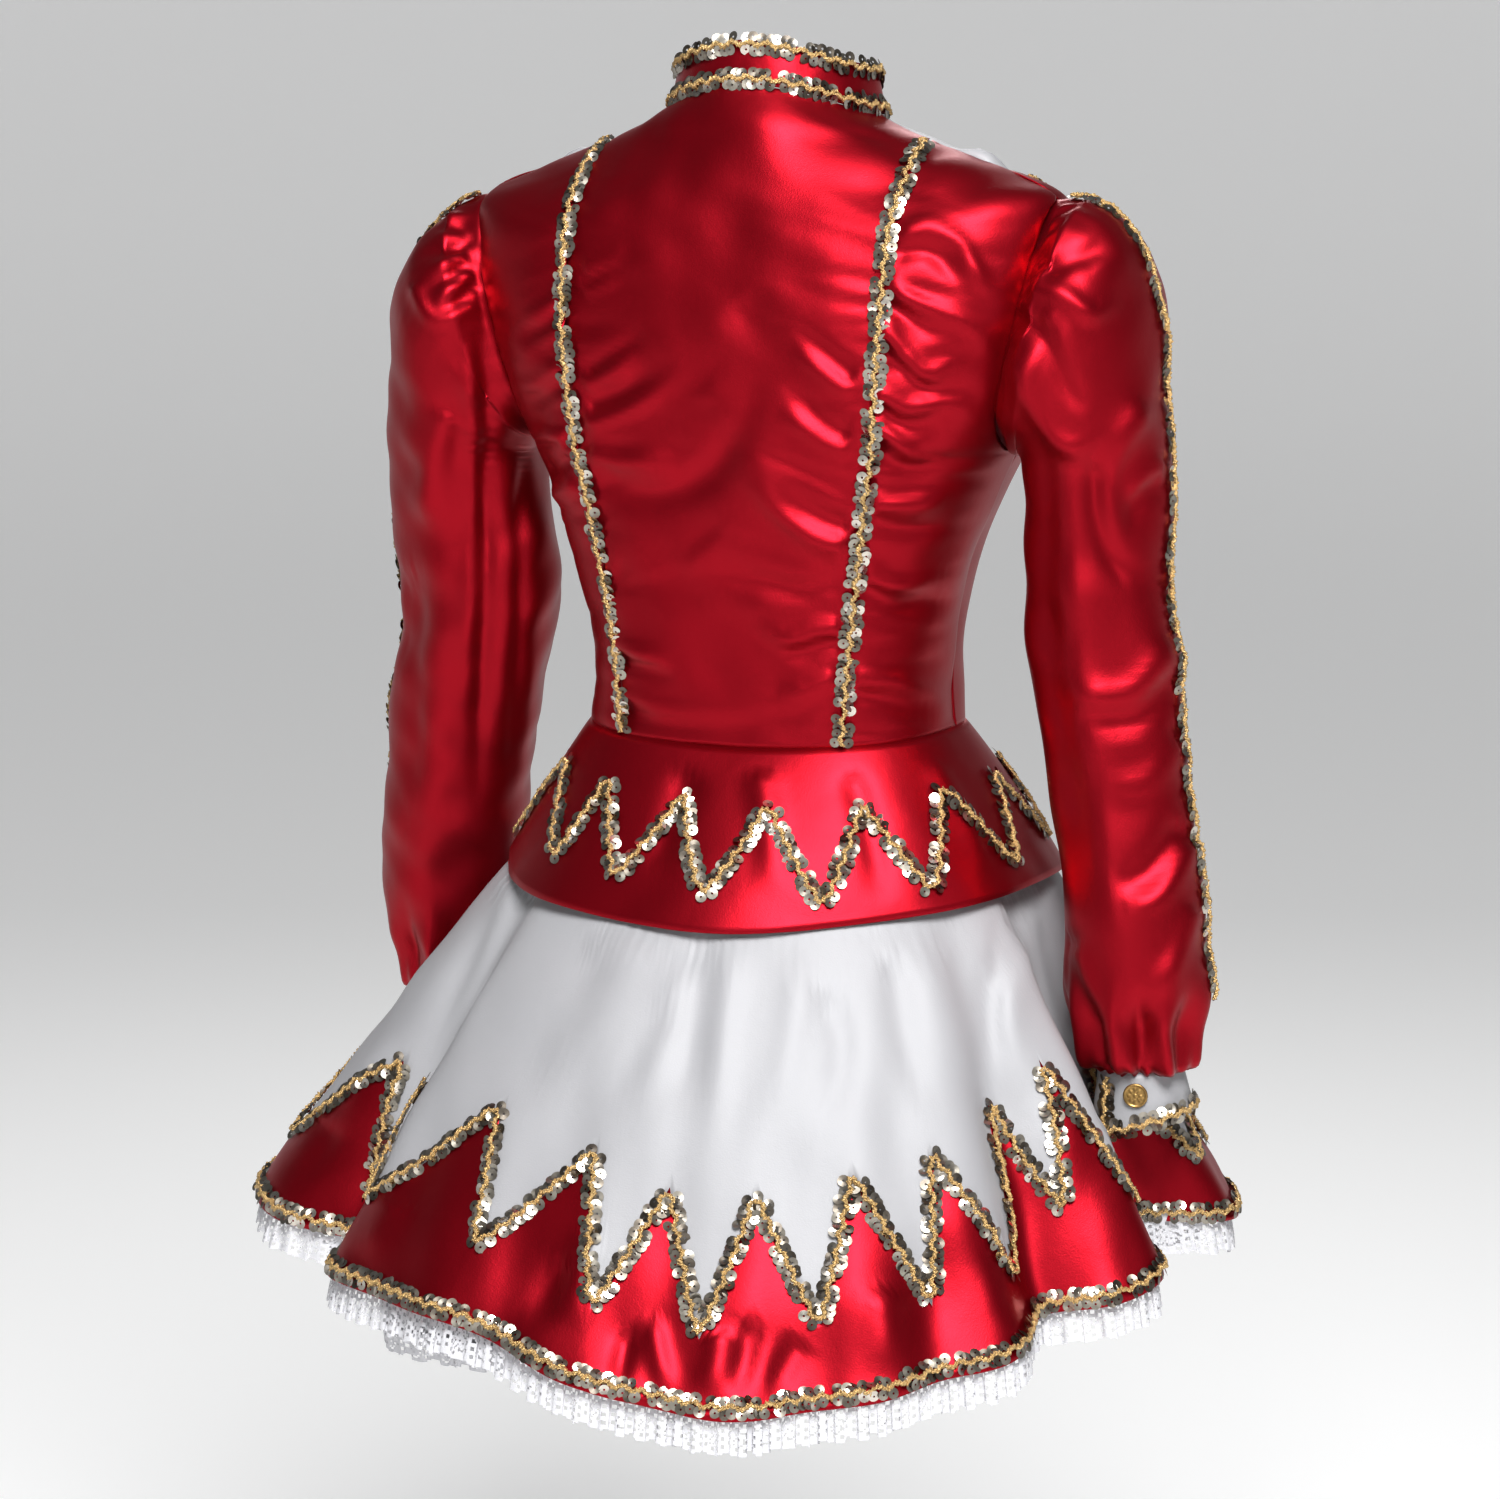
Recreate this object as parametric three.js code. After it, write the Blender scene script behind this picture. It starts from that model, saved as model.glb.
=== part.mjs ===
// Majorette dress: fitted red satin jacket with a peplum, long gathered sleeves,
// a flared white skirt with a red zigzag border, and gold braid on every seam.
// Millimetres. +Z is up, the front faces -Y, the wearer's left is +X.
// The origin is the middle of the neck, where the wearer's shoulders carry the dress.
import * as THREE from 'three';

// Driving dimensions
const CLOTH = 1.4;              // satin wall, outside face to inside face
const SEAM = 0.3;               // gap between two sewn pieces
const BRAID_WIDTH = 11;         // gold gimp braid with its sequins
const BRAID_THICK = 1.6;
const BRAID_LIFT = 0.5;         // braid above the cloth it is sewn to
const COLLAR_RISE = 26;         // stand collar, at the nape
const COLLAR_LEAN = 0.08;       // how much smaller its upper edge is, as a share
const WAIST_Z = -382;
const PEPLUM_TEETH = 16;
const SKIRT_TEETH = 30;
const LACE_WAVES = 168;
const LACE_WAVE_DEPTH = 3.6;    // a gather of the lace, from its middle line
const LACE_SEWN = 0.3;          // share of a gather left where it is sewn
const LACE_DROP = 23;           // lace below the skirt's edge
const LACE_TUCK = 7;            // lace hidden behind the border
const CUFF_RISE = 35;
const CUFF_SLANT = 0.24;         // cuff shorter on its outer side, as a share
const BUTTON_RADIUS = 7.5;
const BUTTON_THICK = 3;
const UNDERSKIRT_GAP = 14;      // underskirt inside the skirt, at the hem

// Satin, lace, braid and button finishes
const RED = { color: 0xb5142a, roughness: 0.32, metalness: 0 };
const WHITE = { color: 0xe9e9ea, roughness: 0.34, metalness: 0 };
const LACE = { color: 0xdcdde0, roughness: 0.85, metalness: 0 };
const GOLD = { color: 0xb49052, roughness: 0.4, metalness: 0.7 };

// Torso: one row for each level, from the neck seam down to the waist seam.
// half is half the width; mid, back and front are Y; the z values are at the side,
// the centre back and the centre front; square is the corner fullness of the back.
const TORSO = [
  ['neck', 66, 6, 66, -44, -9, 8, -46, 2.0],
  ['neck root', 84, 12, 78, -58, -17, -10, -62, 1.85],
  ['shoulder seam', 102, 16, 84, -68, -24, -28, -75, 1.75],
  ['outer shoulder', 146, 21, 95, -86, -40, -56, -100, 1.85],
  ['shoulder tip', 184, 25, 103, -99, -58, -84, -122, 2.2],
  ['upper blade', 185, 18, 108, -107, -88, -112, -142, 2.5],
  ['blade', 181, 12, 111, -113, -118, -137, -160, 2.7],
  ['lower blade', 174, 8, 111, -117, -150, -162, -178, 2.8],
  ['bust', 164, 5, 110, -118, -180, -187, -196, 2.8],
  ['underarm', 152, 3, 108, -115, -208, -211, -215, 2.8],
  ['under bust', 139, 3, 106, -109, -235, -235, -236, 2.8],
  ['upper ribs', 128, 3, 103, -102, -262, -262, -262, 2.8],
  ['lower ribs', 119.5, 3, 100, -95, -290, -290, -290, 2.8],
  ['high waist', 113.5, 3, 97, -89, -320, -320, -320, 2.8],
  ['waist', 111.5, 3, 95.5, -86, -350, -351, -350, 2.8],
  ['waist seam', 114.5, 4, 95, -86, -376, WAIST_Z, WAIST_Z, 2.7],
].map(([name, half, mid, back, front, zSide, zBack, zFront, square]) => (
  { name, half, mid, back, front, zSide, zBack, zFront, square }
));
const FRONT_SQUARE = 2.3;
const TIP_ROW = 4;
const UNDERARM_ROW = 9;

// Lengthwise seams: the torso level where each starts at the shoulder, then its
// distance from the middle at that level and each one below.
const PRINCESS = { from: 2, x: [102, 103, 102, 101, 100, 98, 95.5, 93, 88, 84, 79.5, 75.5, 72.5, 70.5] };
const PLASTRON = { from: 3, x: [146, 166, 155, 140, 126, 113, 102, 92, 82, 73, 65, 58, 52] };
const ARMHOLE_BACK = { from: TIP_ROW, x: [184, 177, 170, 163, 156, 152] };
const ARMHOLE_FRONT = { from: TIP_ROW, x: [184, 168, 158, 150, 147, 152] };

// Sleeves: rings down each arm, after the armhole. x is away from the middle,
// out is the half width, deep the half depth and tilt the rise of the outer side.
const RIGHT_ARM = [
  { x: 180, y: 20, z: -133, out: 22, deep: 62, tilt: 75 },
  { x: 191, y: 20, z: -138, out: 28, deep: 67, tilt: 71 },
  { x: 199, y: 20, z: -148, out: 36, deep: 67, tilt: 60 },
  { x: 204, y: 19, z: -165, out: 39, deep: 65, tilt: 47 },
  { x: 206, y: 18, z: -187, out: 41, deep: 61, tilt: 33 },
  { x: 207, y: 18, z: -216, out: 42.5, deep: 56, tilt: 20 },
  { x: 207, y: 18, z: -254, out: 44, deep: 52, tilt: 12 },
  { x: 210, y: 19, z: -306, out: 45, deep: 49, tilt: 6 },
  { x: 217, y: 21, z: -354, out: 44, deep: 47, tilt: 5 },
  { x: 225, y: 23, z: -403, out: 41.5, deep: 45, tilt: 5 },
  { x: 232, y: 26, z: -446, out: 40, deep: 44, tilt: 5 },
  { x: 238, y: 29, z: -485, out: 42.5, deep: 45, tilt: 5 },
  { x: 241, y: 31, z: -520, out: 43, deep: 45, tilt: 5 },
  { x: 241, y: 32, z: -546, out: 36, deep: 39, tilt: 4 },
  { x: 243, y: 33, z: -570, out: 25, deep: 28, tilt: 2 },
];
const LEFT_ARM = [
  { x: 182, y: 19, z: -136, out: 23, deep: 63, tilt: 72 },
  { x: 194, y: 18, z: -144, out: 33, deep: 68, tilt: 63 },
  { x: 203, y: 16, z: -158, out: 38, deep: 68, tilt: 57 },
  { x: 208, y: 14, z: -172, out: 42, deep: 67, tilt: 47 },
  { x: 209, y: 11, z: -190, out: 44, deep: 64, tilt: 36 },
  { x: 210, y: 8, z: -217, out: 48, deep: 60, tilt: 22 },
  { x: 207, y: 4, z: -254, out: 53, deep: 57, tilt: 13 },
  { x: 207, y: -1, z: -300, out: 53, deep: 55, tilt: 8 },
  { x: 213, y: -8, z: -350, out: 50, deep: 53, tilt: 5 },
  { x: 225, y: -16, z: -400, out: 48, deep: 51, tilt: 5 },
  { x: 236, y: -26, z: -446, out: 46.5, deep: 49, tilt: 5 },
  { x: 244, y: -36, z: -490, out: 46, deep: 48, tilt: 5 },
  { x: 249, y: -44, z: -525, out: 45, deep: 47, tilt: 4 },
  { x: 251, y: -49, z: -552, out: 37, deep: 40, tilt: 3 },
  { x: 252, y: -52, z: -576, out: 26, deep: 29, tilt: 2 },
];
// Long soft folds of a sleeve: at is degrees round it, 0 outside and 90 behind.
const SLEEVE_FOLDS = [
  { at: 62, width: 24, depth: -4, from: 2, to: 11 },
  { at: 118, width: 22, depth: -6, from: 1, to: 12 },
  { at: 200, width: 26, depth: -3, from: 5, to: 12 },
  { at: 250, width: 24, depth: -5, from: 1, to: 11 },
  { at: 312, width: 24, depth: -4, from: 2, to: 12 },
];
const SLEEVE_COLUMNS = 20;

// Skirt: radius and height of its edge round the body; at is degrees from the
// centre back, positive towards the wearer's right.
const HEM = [
  { at: -160, radius: 300, z: -694 },
  { at: -125, radius: 300, z: -684 },
  { at: -95, radius: 312, z: -676 },
  { at: -68, radius: 330, z: -674 },
  { at: -48, radius: 318, z: -690 },
  { at: -18, radius: 312, z: -694 },
  { at: 0, radius: 312, z: -718 },
  { at: 15, radius: 312, z: -730 },
  { at: 30, radius: 309, z: -722 },
  { at: 45, radius: 305, z: -709 },
  { at: 60, radius: 300, z: -692 },
  { at: 75, radius: 302, z: -674 },
  { at: 105, radius: 284, z: -682 },
  { at: 140, radius: 294, z: -692 },
  { at: 175, radius: 300, z: -698 },
];
// Flutes of the skirt: depth is in or out at the edge, from is where down it starts.
// The two steep ones are where the arms press the skirt in.
const FLUTES = [
  { at: -49, width: 6, depth: -46, from: 0.16 },
  { at: -30, width: 8, depth: -5, from: 0.3 },
  { at: -12, width: 6, depth: -9, from: 0.35 },
  { at: 8, width: 5, depth: -6, from: 0.45 },
  { at: 24, width: 5, depth: -8, from: 0.4 },
  { at: 39, width: 4.5, depth: -10, from: 0.4 },
  { at: 56, width: 5, depth: -36, from: 0.25 },
  { at: 82.5, width: 10, depth: -70, from: 0.12, steep: 4 },
  { at: 124, width: 8, depth: -30, from: 0.2 },
  { at: 152, width: 8, depth: -24, from: 0.25 },
  { at: 178, width: 7, depth: -30, from: 0.2 },
  { at: -156, width: 8, depth: -26, from: 0.25 },
  { at: -132, width: 7, depth: -24, from: 0.25 },
  { at: -102, width: 12, depth: -70, from: 0.12, steep: 4 },
  { at: -78, width: 6, depth: -12, from: 0.35 },
];
const SKIRT_LENGTH = 340;          // along the cloth, waist to edge, for the hem's narrow parts
const SKIRT_FLARE = 0.92;
const FLUTE_GROWTH = 1.1;
const PEPLUM_CLEARANCE = 8;        // skirt inside the peplum's edge
const SKIRT_TOP_DROP = 2;          // skirt starts below the waist seam
const TOOTH_SHIFT = -5;           // degrees of one tooth's point from the centre back
const TOOTH_TOP = 78;             // points above the valleys, before the flutes
const VALLEY_RISE = 44;           // valleys above the skirt's edge
const PEPLUM_EDGE_RADIUS = { side: 176, back: 163, front: 158 };
const PEPLUM_EDGE_Z = { side: -466, back: -481, front: -476 };
const PEPLUM_VALLEY = 0.83;       // zigzag down the peplum, as shares of its length
const PEPLUM_PEAK = 0.24;
const PEPLUM_TOOTH_SHIFT = -4;

const TAU = Math.PI * 2;
const rad = THREE.MathUtils.degToRad;
const vec = (x, y, z) => new THREE.Vector3(x, y, z);

// Shortest way round from one angle to another, in degrees
function turn(from, to) {
  return ((to - from) % 360 + 540) % 360 - 180;
}

// Smooth closed interpolation of one column of a table that has an at column
function around(table, column, angle) {
  const count = table.length;
  const offset = (angle - table[0].at + 720) % 360;
  let k = count - 1;
  while (table[k].at - table[0].at > offset) k -= 1;
  const start = table[k];
  const end = table[(k + 1) % count];
  const gap = (end.at - start.at + 360) % 360;
  const t = (offset - (start.at - table[0].at)) / gap;
  const before = table[(k + count - 1) % count][column];
  const after = table[(k + 2) % count][column];
  const a = start[column];
  const b = end[column];
  return a + 0.5 * t * (b - before + t * (2 * before - 5 * a + 4 * b - after
    + t * (3 * (a - b) + after - before)));
}

// A closed wall between an outer and an inner grid of points, rows by columns
function wallGeometry(outer, inner, closed) {
  const rows = outer.length;
  const columns = outer[0].length;
  const positions = [];
  const index = [];
  for (const grid of [outer, inner]) {
    for (const row of grid) {
      for (const p of row) positions.push(p.x, p.y, p.z);
    }
  }
  const at = (side, r, c) => side * rows * columns + r * columns + (c % columns);
  const corner = (k) => vec(positions[3 * k], positions[3 * k + 1], positions[3 * k + 2]);
  const near = (a, b) => corner(a).distanceTo(corner(b)) < 1e-3;
  const triangle = (a, b, c) => {
    if (!near(a, b) && !near(b, c) && !near(a, c)) index.push(a, b, c);
  };
  const quad = (a, b, c, d) => {
    triangle(a, b, c);
    triangle(a, c, d);
  };
  const spans = closed ? columns : columns - 1;
  for (let r = 0; r < rows - 1; r += 1) {
    for (let c = 0; c < spans; c += 1) {
      quad(at(0, r, c), at(0, r + 1, c), at(0, r + 1, c + 1), at(0, r, c + 1));
      quad(at(1, r, c), at(1, r, c + 1), at(1, r + 1, c + 1), at(1, r + 1, c));
    }
  }
  for (let c = 0; c < spans; c += 1) {
    quad(at(0, 0, c), at(0, 0, c + 1), at(1, 0, c + 1), at(1, 0, c));
    quad(at(0, rows - 1, c), at(1, rows - 1, c), at(1, rows - 1, c + 1), at(0, rows - 1, c + 1));
  }
  if (!closed) {
    const last = columns - 1;
    for (let r = 0; r < rows - 1; r += 1) {
      quad(at(0, r, 0), at(1, r, 0), at(1, r + 1, 0), at(0, r + 1, 0));
      quad(at(0, r, last), at(0, r + 1, last), at(1, r + 1, last), at(1, r, last));
    }
  }
  const geometry = new THREE.BufferGeometry();
  geometry.setAttribute('position', new THREE.Float32BufferAttribute(positions, 3));
  geometry.setIndex(index);
  geometry.computeVertexNormals();
  return geometry;
}

const dress = new THREE.Group();

function addMesh(name, geometry, finish) {
  const mesh = new THREE.Mesh(geometry, new THREE.MeshStandardMaterial(finish));
  mesh.name = name;
  dress.add(mesh);
  return mesh;
}

// Volume sign of a closed wall, used to keep every wall facing out
function signedVolume(geometry) {
  const p = geometry.getAttribute('position');
  const index = geometry.getIndex().array;
  const [a, b, c] = [vec(0, 0, 0), vec(0, 0, 0), vec(0, 0, 0)];
  let total = 0;
  for (let i = 0; i < index.length; i += 3) {
    a.fromBufferAttribute(p, index[i]);
    b.fromBufferAttribute(p, index[i + 1]);
    c.fromBufferAttribute(p, index[i + 2]);
    total += a.dot(b.cross(c));
  }
  return total;
}

function addWall(name, outer, inner, closed, finish) {
  let geometry = wallGeometry(outer, inner, closed);
  if (signedVolume(geometry) < 0) geometry = wallGeometry(inner, outer, closed);
  return addMesh(name, geometry, finish);
}

// Unit normals at the points of a closed grid, all facing away from the middles of its rows
function gridNormals(grid) {
  const rows = grid.length;
  const columns = grid[0].length;
  let facing = 0;
  const normals = grid.map((row, r) => {
    const middle = row.reduce((sum, p) => sum.add(p), vec(0, 0, 0)).divideScalar(columns);
    return row.map((p, c) => {
      const down = grid[Math.min(r + 1, rows - 1)][c].clone().sub(grid[Math.max(r - 1, 0)][c]);
      const round = row[(c + 1) % columns].clone().sub(row[(c + columns - 1) % columns]);
      const normal = down.cross(round).normalize();
      facing += normal.dot(p.clone().sub(middle));
      return normal;
    });
  });
  if (facing < 0) normals.forEach((row) => row.forEach((normal) => normal.negate()));
  return normals;
}

function offsetGrid(grid, distance) {
  const normals = gridNormals(grid);
  return grid.map((row, r) => row.map((p, c) => p.clone().addScaledVector(normals[r][c], distance)));
}

// The edges of a grid drawn back along the cloth, half a seam's gap on each side
function trimmed(grid) {
  const last = grid.length - 1;
  const end = grid[0].length - 1;
  const copy = grid.map((row) => row.map((p) => p.clone()));
  const pull = (r, c, r2, c2) => {
    const way = grid[r2][c2].clone().sub(grid[r][c]).normalize();
    copy[r][c].addScaledVector(way, SEAM / 2);
  };
  for (let c = 0; c <= end; c += 1) {
    pull(0, c, 1, c);
    pull(last, c, last - 1, c);
  }
  for (let r = 0; r <= last; r += 1) {
    pull(r, 0, r, 1);
    pull(r, end, r, end - 1);
  }
  return copy;
}

// Normals of a surface function f(u, v), pointing away from a middle point
const STEP = 0.01;
function normalOf(f, u, v, away) {
  const du = f(u + STEP, v).sub(f(u - STEP, v));
  const dv = f(u, v + STEP).sub(f(u, v - STEP));
  const normal = du.cross(dv).normalize();
  const out = f(u, v).sub(away(u, v));
  return normal.dot(out) < 0 ? normal.negate() : normal;
}

// Torso surface: turn is 0 at the centre back, 90 at the side, 180 at the centre front
function torsoRow(level) {
  const low = Math.max(0, Math.min(TORSO.length - 2, Math.floor(level)));
  const t = level - low;
  const row = {};
  for (const key of Object.keys(TORSO[0])) {
    if (key !== 'name') row[key] = TORSO[low][key] * (1 - t) + TORSO[low + 1][key] * t;
  }
  return row;
}

function torsoPoint(angle, level, side) {
  const row = torsoRow(level);
  const sine = Math.abs(Math.sin(rad(angle)));
  const behind = Math.cos(rad(angle)) >= 0;
  const square = behind ? row.square : FRONT_SQUARE;
  const fullness = Math.max(0, 1 - sine ** square) ** (1 / square);
  const y = row.mid + fullness * ((behind ? row.back : row.front) - row.mid);
  const zMiddle = behind ? row.zBack : row.zFront;
  const z = row.zSide + (zMiddle - row.zSide) * Math.cos(rad(angle)) ** 2;
  return vec(side * row.half * sine * Math.sign(Math.sin(rad(angle)) || 1), y, z);
}

// Turn of a lengthwise seam at a torso level, from its distance to the middle
function seamTurn(seam, level, behind) {
  const x = seam.x[level - seam.from];
  if (x === undefined || x >= TORSO[level].half) return 90;
  const angle = THREE.MathUtils.radToDeg(Math.asin(x / TORSO[level].half));
  return behind ? angle : 180 - angle;
}

const torsoAxis = (angle, level) => vec(0, torsoRow(level).mid, torsoRow(level).zSide - 40);

function torsoPanel(name, fromLevel, startTurn, endTurn, columns, side, finish, puff = 0) {
  const outer = [];
  const inner = [];
  const f = (u, v) => torsoPoint(u, v, side);
  for (let level = fromLevel; level < TORSO.length; level += 1) {
    const from = startTurn(level);
    const to = endTurn(level);
    const outerRow = [];
    const innerRow = [];
    for (let c = 0; c <= columns; c += 1) {
      const t = c / columns;
      const angle = from + (to - from) * t;
      const smooth = Math.abs(Math.abs(angle) - 90) < 0.6 ? angle * 0.993 : Math.min(178.5, angle);
      const normal = normalOf(f, smooth, Math.min(level + 0.02, TORSO.length - 1.02), torsoAxis);
      const rise = puff * Math.sin(Math.PI * t) * Math.min(1, Math.abs(level) / 2);
      const point = f(angle, level).addScaledVector(normal, rise);
      outerRow.push(point);
      innerRow.push(point.clone().addScaledVector(normal, -CLOTH));
    }
    outer.push(outerRow);
    inner.push(innerRow);
  }
  addWall(name, trimmed(outer), trimmed(inner), false, finish);
}

// A flat braid along a run of surface points, standing on them
function braid(name, centre, across, normals, closed, width = BRAID_WIDTH) {
  const lower = [];
  const upper = [];
  for (const edge of [-0.5, 0.5]) {
    lower.push(centre.map((p, i) => p.clone().addScaledVector(across[i], edge * width)
      .addScaledVector(normals[i], BRAID_LIFT)));
    upper.push(centre.map((p, i) => p.clone().addScaledVector(across[i], edge * width)
      .addScaledVector(normals[i], BRAID_LIFT + BRAID_THICK)));
  }
  addWall(name, upper, lower, closed, GOLD);
}

// A braid along a lengthwise torso seam: shift is 0 on it, -1 beside it
const TORSO_LIFT = 0.5;
const SHOULDER_LIFT = 2.1;
function torsoBraid(name, turnAt, fromLevel, side, shift) {
  const centre = [];
  const across = [];
  const normals = [];
  const f = (u, v) => torsoPoint(u, v, side);
  for (let level = fromLevel; level < TORSO.length; level += 1) {
    const angle = turnAt(level);
    const safe = Math.min(level + 0.02, TORSO.length - 1.02);
    const way = f(angle + 1, level).sub(f(angle - 1, level)).normalize();
    const normal = normalOf(f, angle + shift * 2, safe, torsoAxis);
    const lift = TORSO_LIFT + SHOULDER_LIFT * Math.max(0, 1 - (level - fromLevel) / 2);
    centre.push(f(angle, level).addScaledVector(way, shift * (BRAID_WIDTH / 2 + SEAM))
      .addScaledVector(normal, lift));
    normals.push(normal);
  }
  centre.forEach((p, i) => {
    const next = centre[Math.min(i + 1, centre.length - 1)];
    const along = next.clone().sub(centre[Math.max(i - 1, 0)]);
    across.push(along.cross(normals[i]).normalize());
  });
  braid(name, centre, across, normals, false);
}

// Jacket panels: the side panels start in a point where their seam leaves the shoulder
const princess = (level) => seamTurn(PRINCESS, level, true);
const plastron = (level) => seamTurn(PLASTRON, level, false);
const armholeTurn = (level, behind) => seamTurn(behind ? ARMHOLE_BACK : ARMHOLE_FRONT, level, behind);
torsoPanel('back_centre', 0, (l) => -princess(l), princess, 6, 1, RED);
for (const [word, side] of [['left', 1], ['right', -1]]) {
  torsoPanel(`back_side_${word}`, PRINCESS.from, princess, (l) => armholeTurn(l, true), 4, side, RED);
  torsoPanel(`front_side_${word}`, PLASTRON.from, (l) => armholeTurn(l, false), plastron, 4, side, RED);
  torsoPanel(`plastron_${word}`, 0, plastron, () => 180, 4, side, WHITE, 4);
  torsoBraid(`braid_princess_${word}`, princess, PRINCESS.from, side, 0);
  torsoBraid(`braid_plastron_${word}`, plastron, TIP_ROW, side, -1);
}

// Collar: a ring that leans in a little, open at the centre front
const COLLAR_COLUMNS = 20;
const COLLAR_OPENING = 3;
function collarPoint(angle, share) {
  const row = TORSO[0];
  const c = Math.cos(rad(angle));
  const s = Math.sin(rad(angle));
  const lean = 1 - COLLAR_LEAN * share;
  const zMiddle = c > 0 ? row.zBack : row.zFront;
  const rise = COLLAR_RISE * (1 + 0.1 * (1 - c));
  return vec(
    -row.half * s * lean,
    row.mid + (c > 0 ? row.back - row.mid : row.mid - row.front) * c * lean,
    row.zSide + (zMiddle - row.zSide) * c * c + rise * share + SEAM * 2,
  );
}
const neckAxis = () => vec(0, TORSO[0].mid, 0);
const collarAngles = [];
for (let c = 0; c <= COLLAR_COLUMNS; c += 1) {
  collarAngles.push(-180 + COLLAR_OPENING + (360 - 2 * COLLAR_OPENING) * (c / COLLAR_COLUMNS));
}
const collarOuter = [];
const collarInner = [];
for (const share of [0, 1]) {
  collarOuter.push(collarAngles.map((a) => collarPoint(a, share)));
  collarInner.push(collarAngles.map((a) => collarPoint(a, share)
    .addScaledVector(normalOf(collarPoint, a, share, neckAxis).setZ(0).normalize(), -CLOTH)));
}
addWall('collar', collarOuter, collarInner, false, RED);
for (const [name, share] of [['braid_collar_top', 0.8], ['braid_collar_seam', 0.24]]) {
  const centre = collarAngles.map((a) => collarPoint(a, share));
  const normals = collarAngles.map((a) => normalOf(collarPoint, a, share, neckAxis));
  const across = collarAngles.map((a) => collarPoint(a, share + 0.1).sub(collarPoint(a, share)).normalize());
  braid(name, centre, across, normals, false);
}

// Sleeves: the first ring follows the armhole, the others the arm
function armholeLoop(side) {
  const loop = [];
  for (let level = TIP_ROW; level <= UNDERARM_ROW; level += 1) {
    loop.push(torsoPoint(armholeTurn(level, true), level, side));
  }
  for (let level = UNDERARM_ROW - 1; level > TIP_ROW; level -= 1) {
    loop.push(torsoPoint(armholeTurn(level, false), level, side));
  }
  return loop;
}

function ringPoint(ring, angle, depth, side) {
  const c = Math.cos(rad(angle));
  const s = Math.sin(rad(angle));
  return vec(
    side * (ring.x + (ring.out + depth) * c),
    ring.y + (ring.deep + depth) * s,
    ring.z + ring.tilt * c,
  );
}

function foldDepth(angle, row) {
  let depth = 0;
  for (const fold of SLEEVE_FOLDS) {
    if (row > fold.from && row < fold.to) {
      const along = Math.sin(Math.PI * (row - fold.from) / (fold.to - fold.from));
      depth += fold.depth * along * Math.exp(-((turn(fold.at, angle) / fold.width) ** 2));
    }
  }
  return depth;
}

function sleeve(word, arm, side) {
  const loop = armholeLoop(side);
  const rows = [];
  const hole = [];
  for (let c = 0; c < SLEEVE_COLUMNS; c += 1) {
    const place = c * loop.length / SLEEVE_COLUMNS;
    const low = Math.floor(place);
    const point = loop[low].clone().lerp(loop[(low + 1) % loop.length], place - low);
    hole.push(point.add(vec(side * (CLOTH + SEAM), 0, 0)));
  }
  rows.push(hole);
  arm.forEach((ring, k) => {
    const row = [];
    for (let c = 0; c < SLEEVE_COLUMNS; c += 1) {
      const angle = 360 * c / SLEEVE_COLUMNS;
      row.push(ringPoint(ring, angle, foldDepth(angle, k), side));
    }
    rows.push(row);
  });
  const inner = offsetGrid(rows, -CLOTH);
  addWall(`sleeve_${word}`, rows, inner, true, RED);
  sleeveBraid(word, rows, inner);
  cuff(word, arm[arm.length - 1], side);
}

// The braid runs down the outside of the sleeve, on the sleeve's own points
function sleeveBraid(word, rows, inner) {
  const lastRow = rows.length - 3;
  const centre = [];
  const across = [];
  const normals = [];
  for (let r = 1; r <= lastRow; r += 1) {
    centre.push(rows[r][0].clone());
    normals.push(rows[r][0].clone().sub(inner[r][0]).normalize());
    across.push(rows[r][1].clone().sub(rows[r][SLEEVE_COLUMNS - 1]).normalize());
  }
  const flat = centre.map((p, i) => p.addScaledVector(normals[i], 0.2));
  braid(`braid_sleeve_${word}`, flat, across, normals, false, BRAID_WIDTH * 0.8);
}

// Cuff: a short white band that flares a little, with braid at its edge and a button
const CUFF_COLUMNS = 16;
const CUFF_FLARE = 5;
const CUFF_LEAN = 1.5;
function cuff(word, wrist, side) {
  const centre = (share) => vec(
    side * (wrist.x + CUFF_LEAN * share),
    wrist.y - 1.2 * share,
    wrist.z - SEAM - CUFF_RISE * share,
  );
  const at = (angle, share, inset) => {
    const p = centre(share);
    const out = wrist.out + CUFF_FLARE * share - inset;
    const deep = wrist.deep + CUFF_FLARE * share - inset;
    const slant = (wrist.tilt + CUFF_RISE * CUFF_SLANT * share) * Math.cos(rad(angle));
    return vec(p.x + side * out * Math.cos(rad(angle)), p.y + deep * Math.sin(rad(angle)), p.z + slant);
  };
  const angles = [];
  for (let c = 0; c < CUFF_COLUMNS; c += 1) angles.push(360 * c / CUFF_COLUMNS);
  const ring = (share, inset) => angles.map((a) => at(a, share, inset));
  addWall(`cuff_${word}`, [ring(0, 0), ring(1, 0)], [ring(0, CLOTH), ring(1, CLOTH)], true, WHITE);
  const lower = [ring(0.78, -BRAID_LIFT), ring(1, -BRAID_LIFT)];
  const upper = [ring(0.78, -BRAID_LIFT - BRAID_THICK), ring(1, -BRAID_LIFT - BRAID_THICK)];
  addWall(`braid_cuff_${word}`, upper, lower, true, GOLD);
  button(word, at);
}

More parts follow.
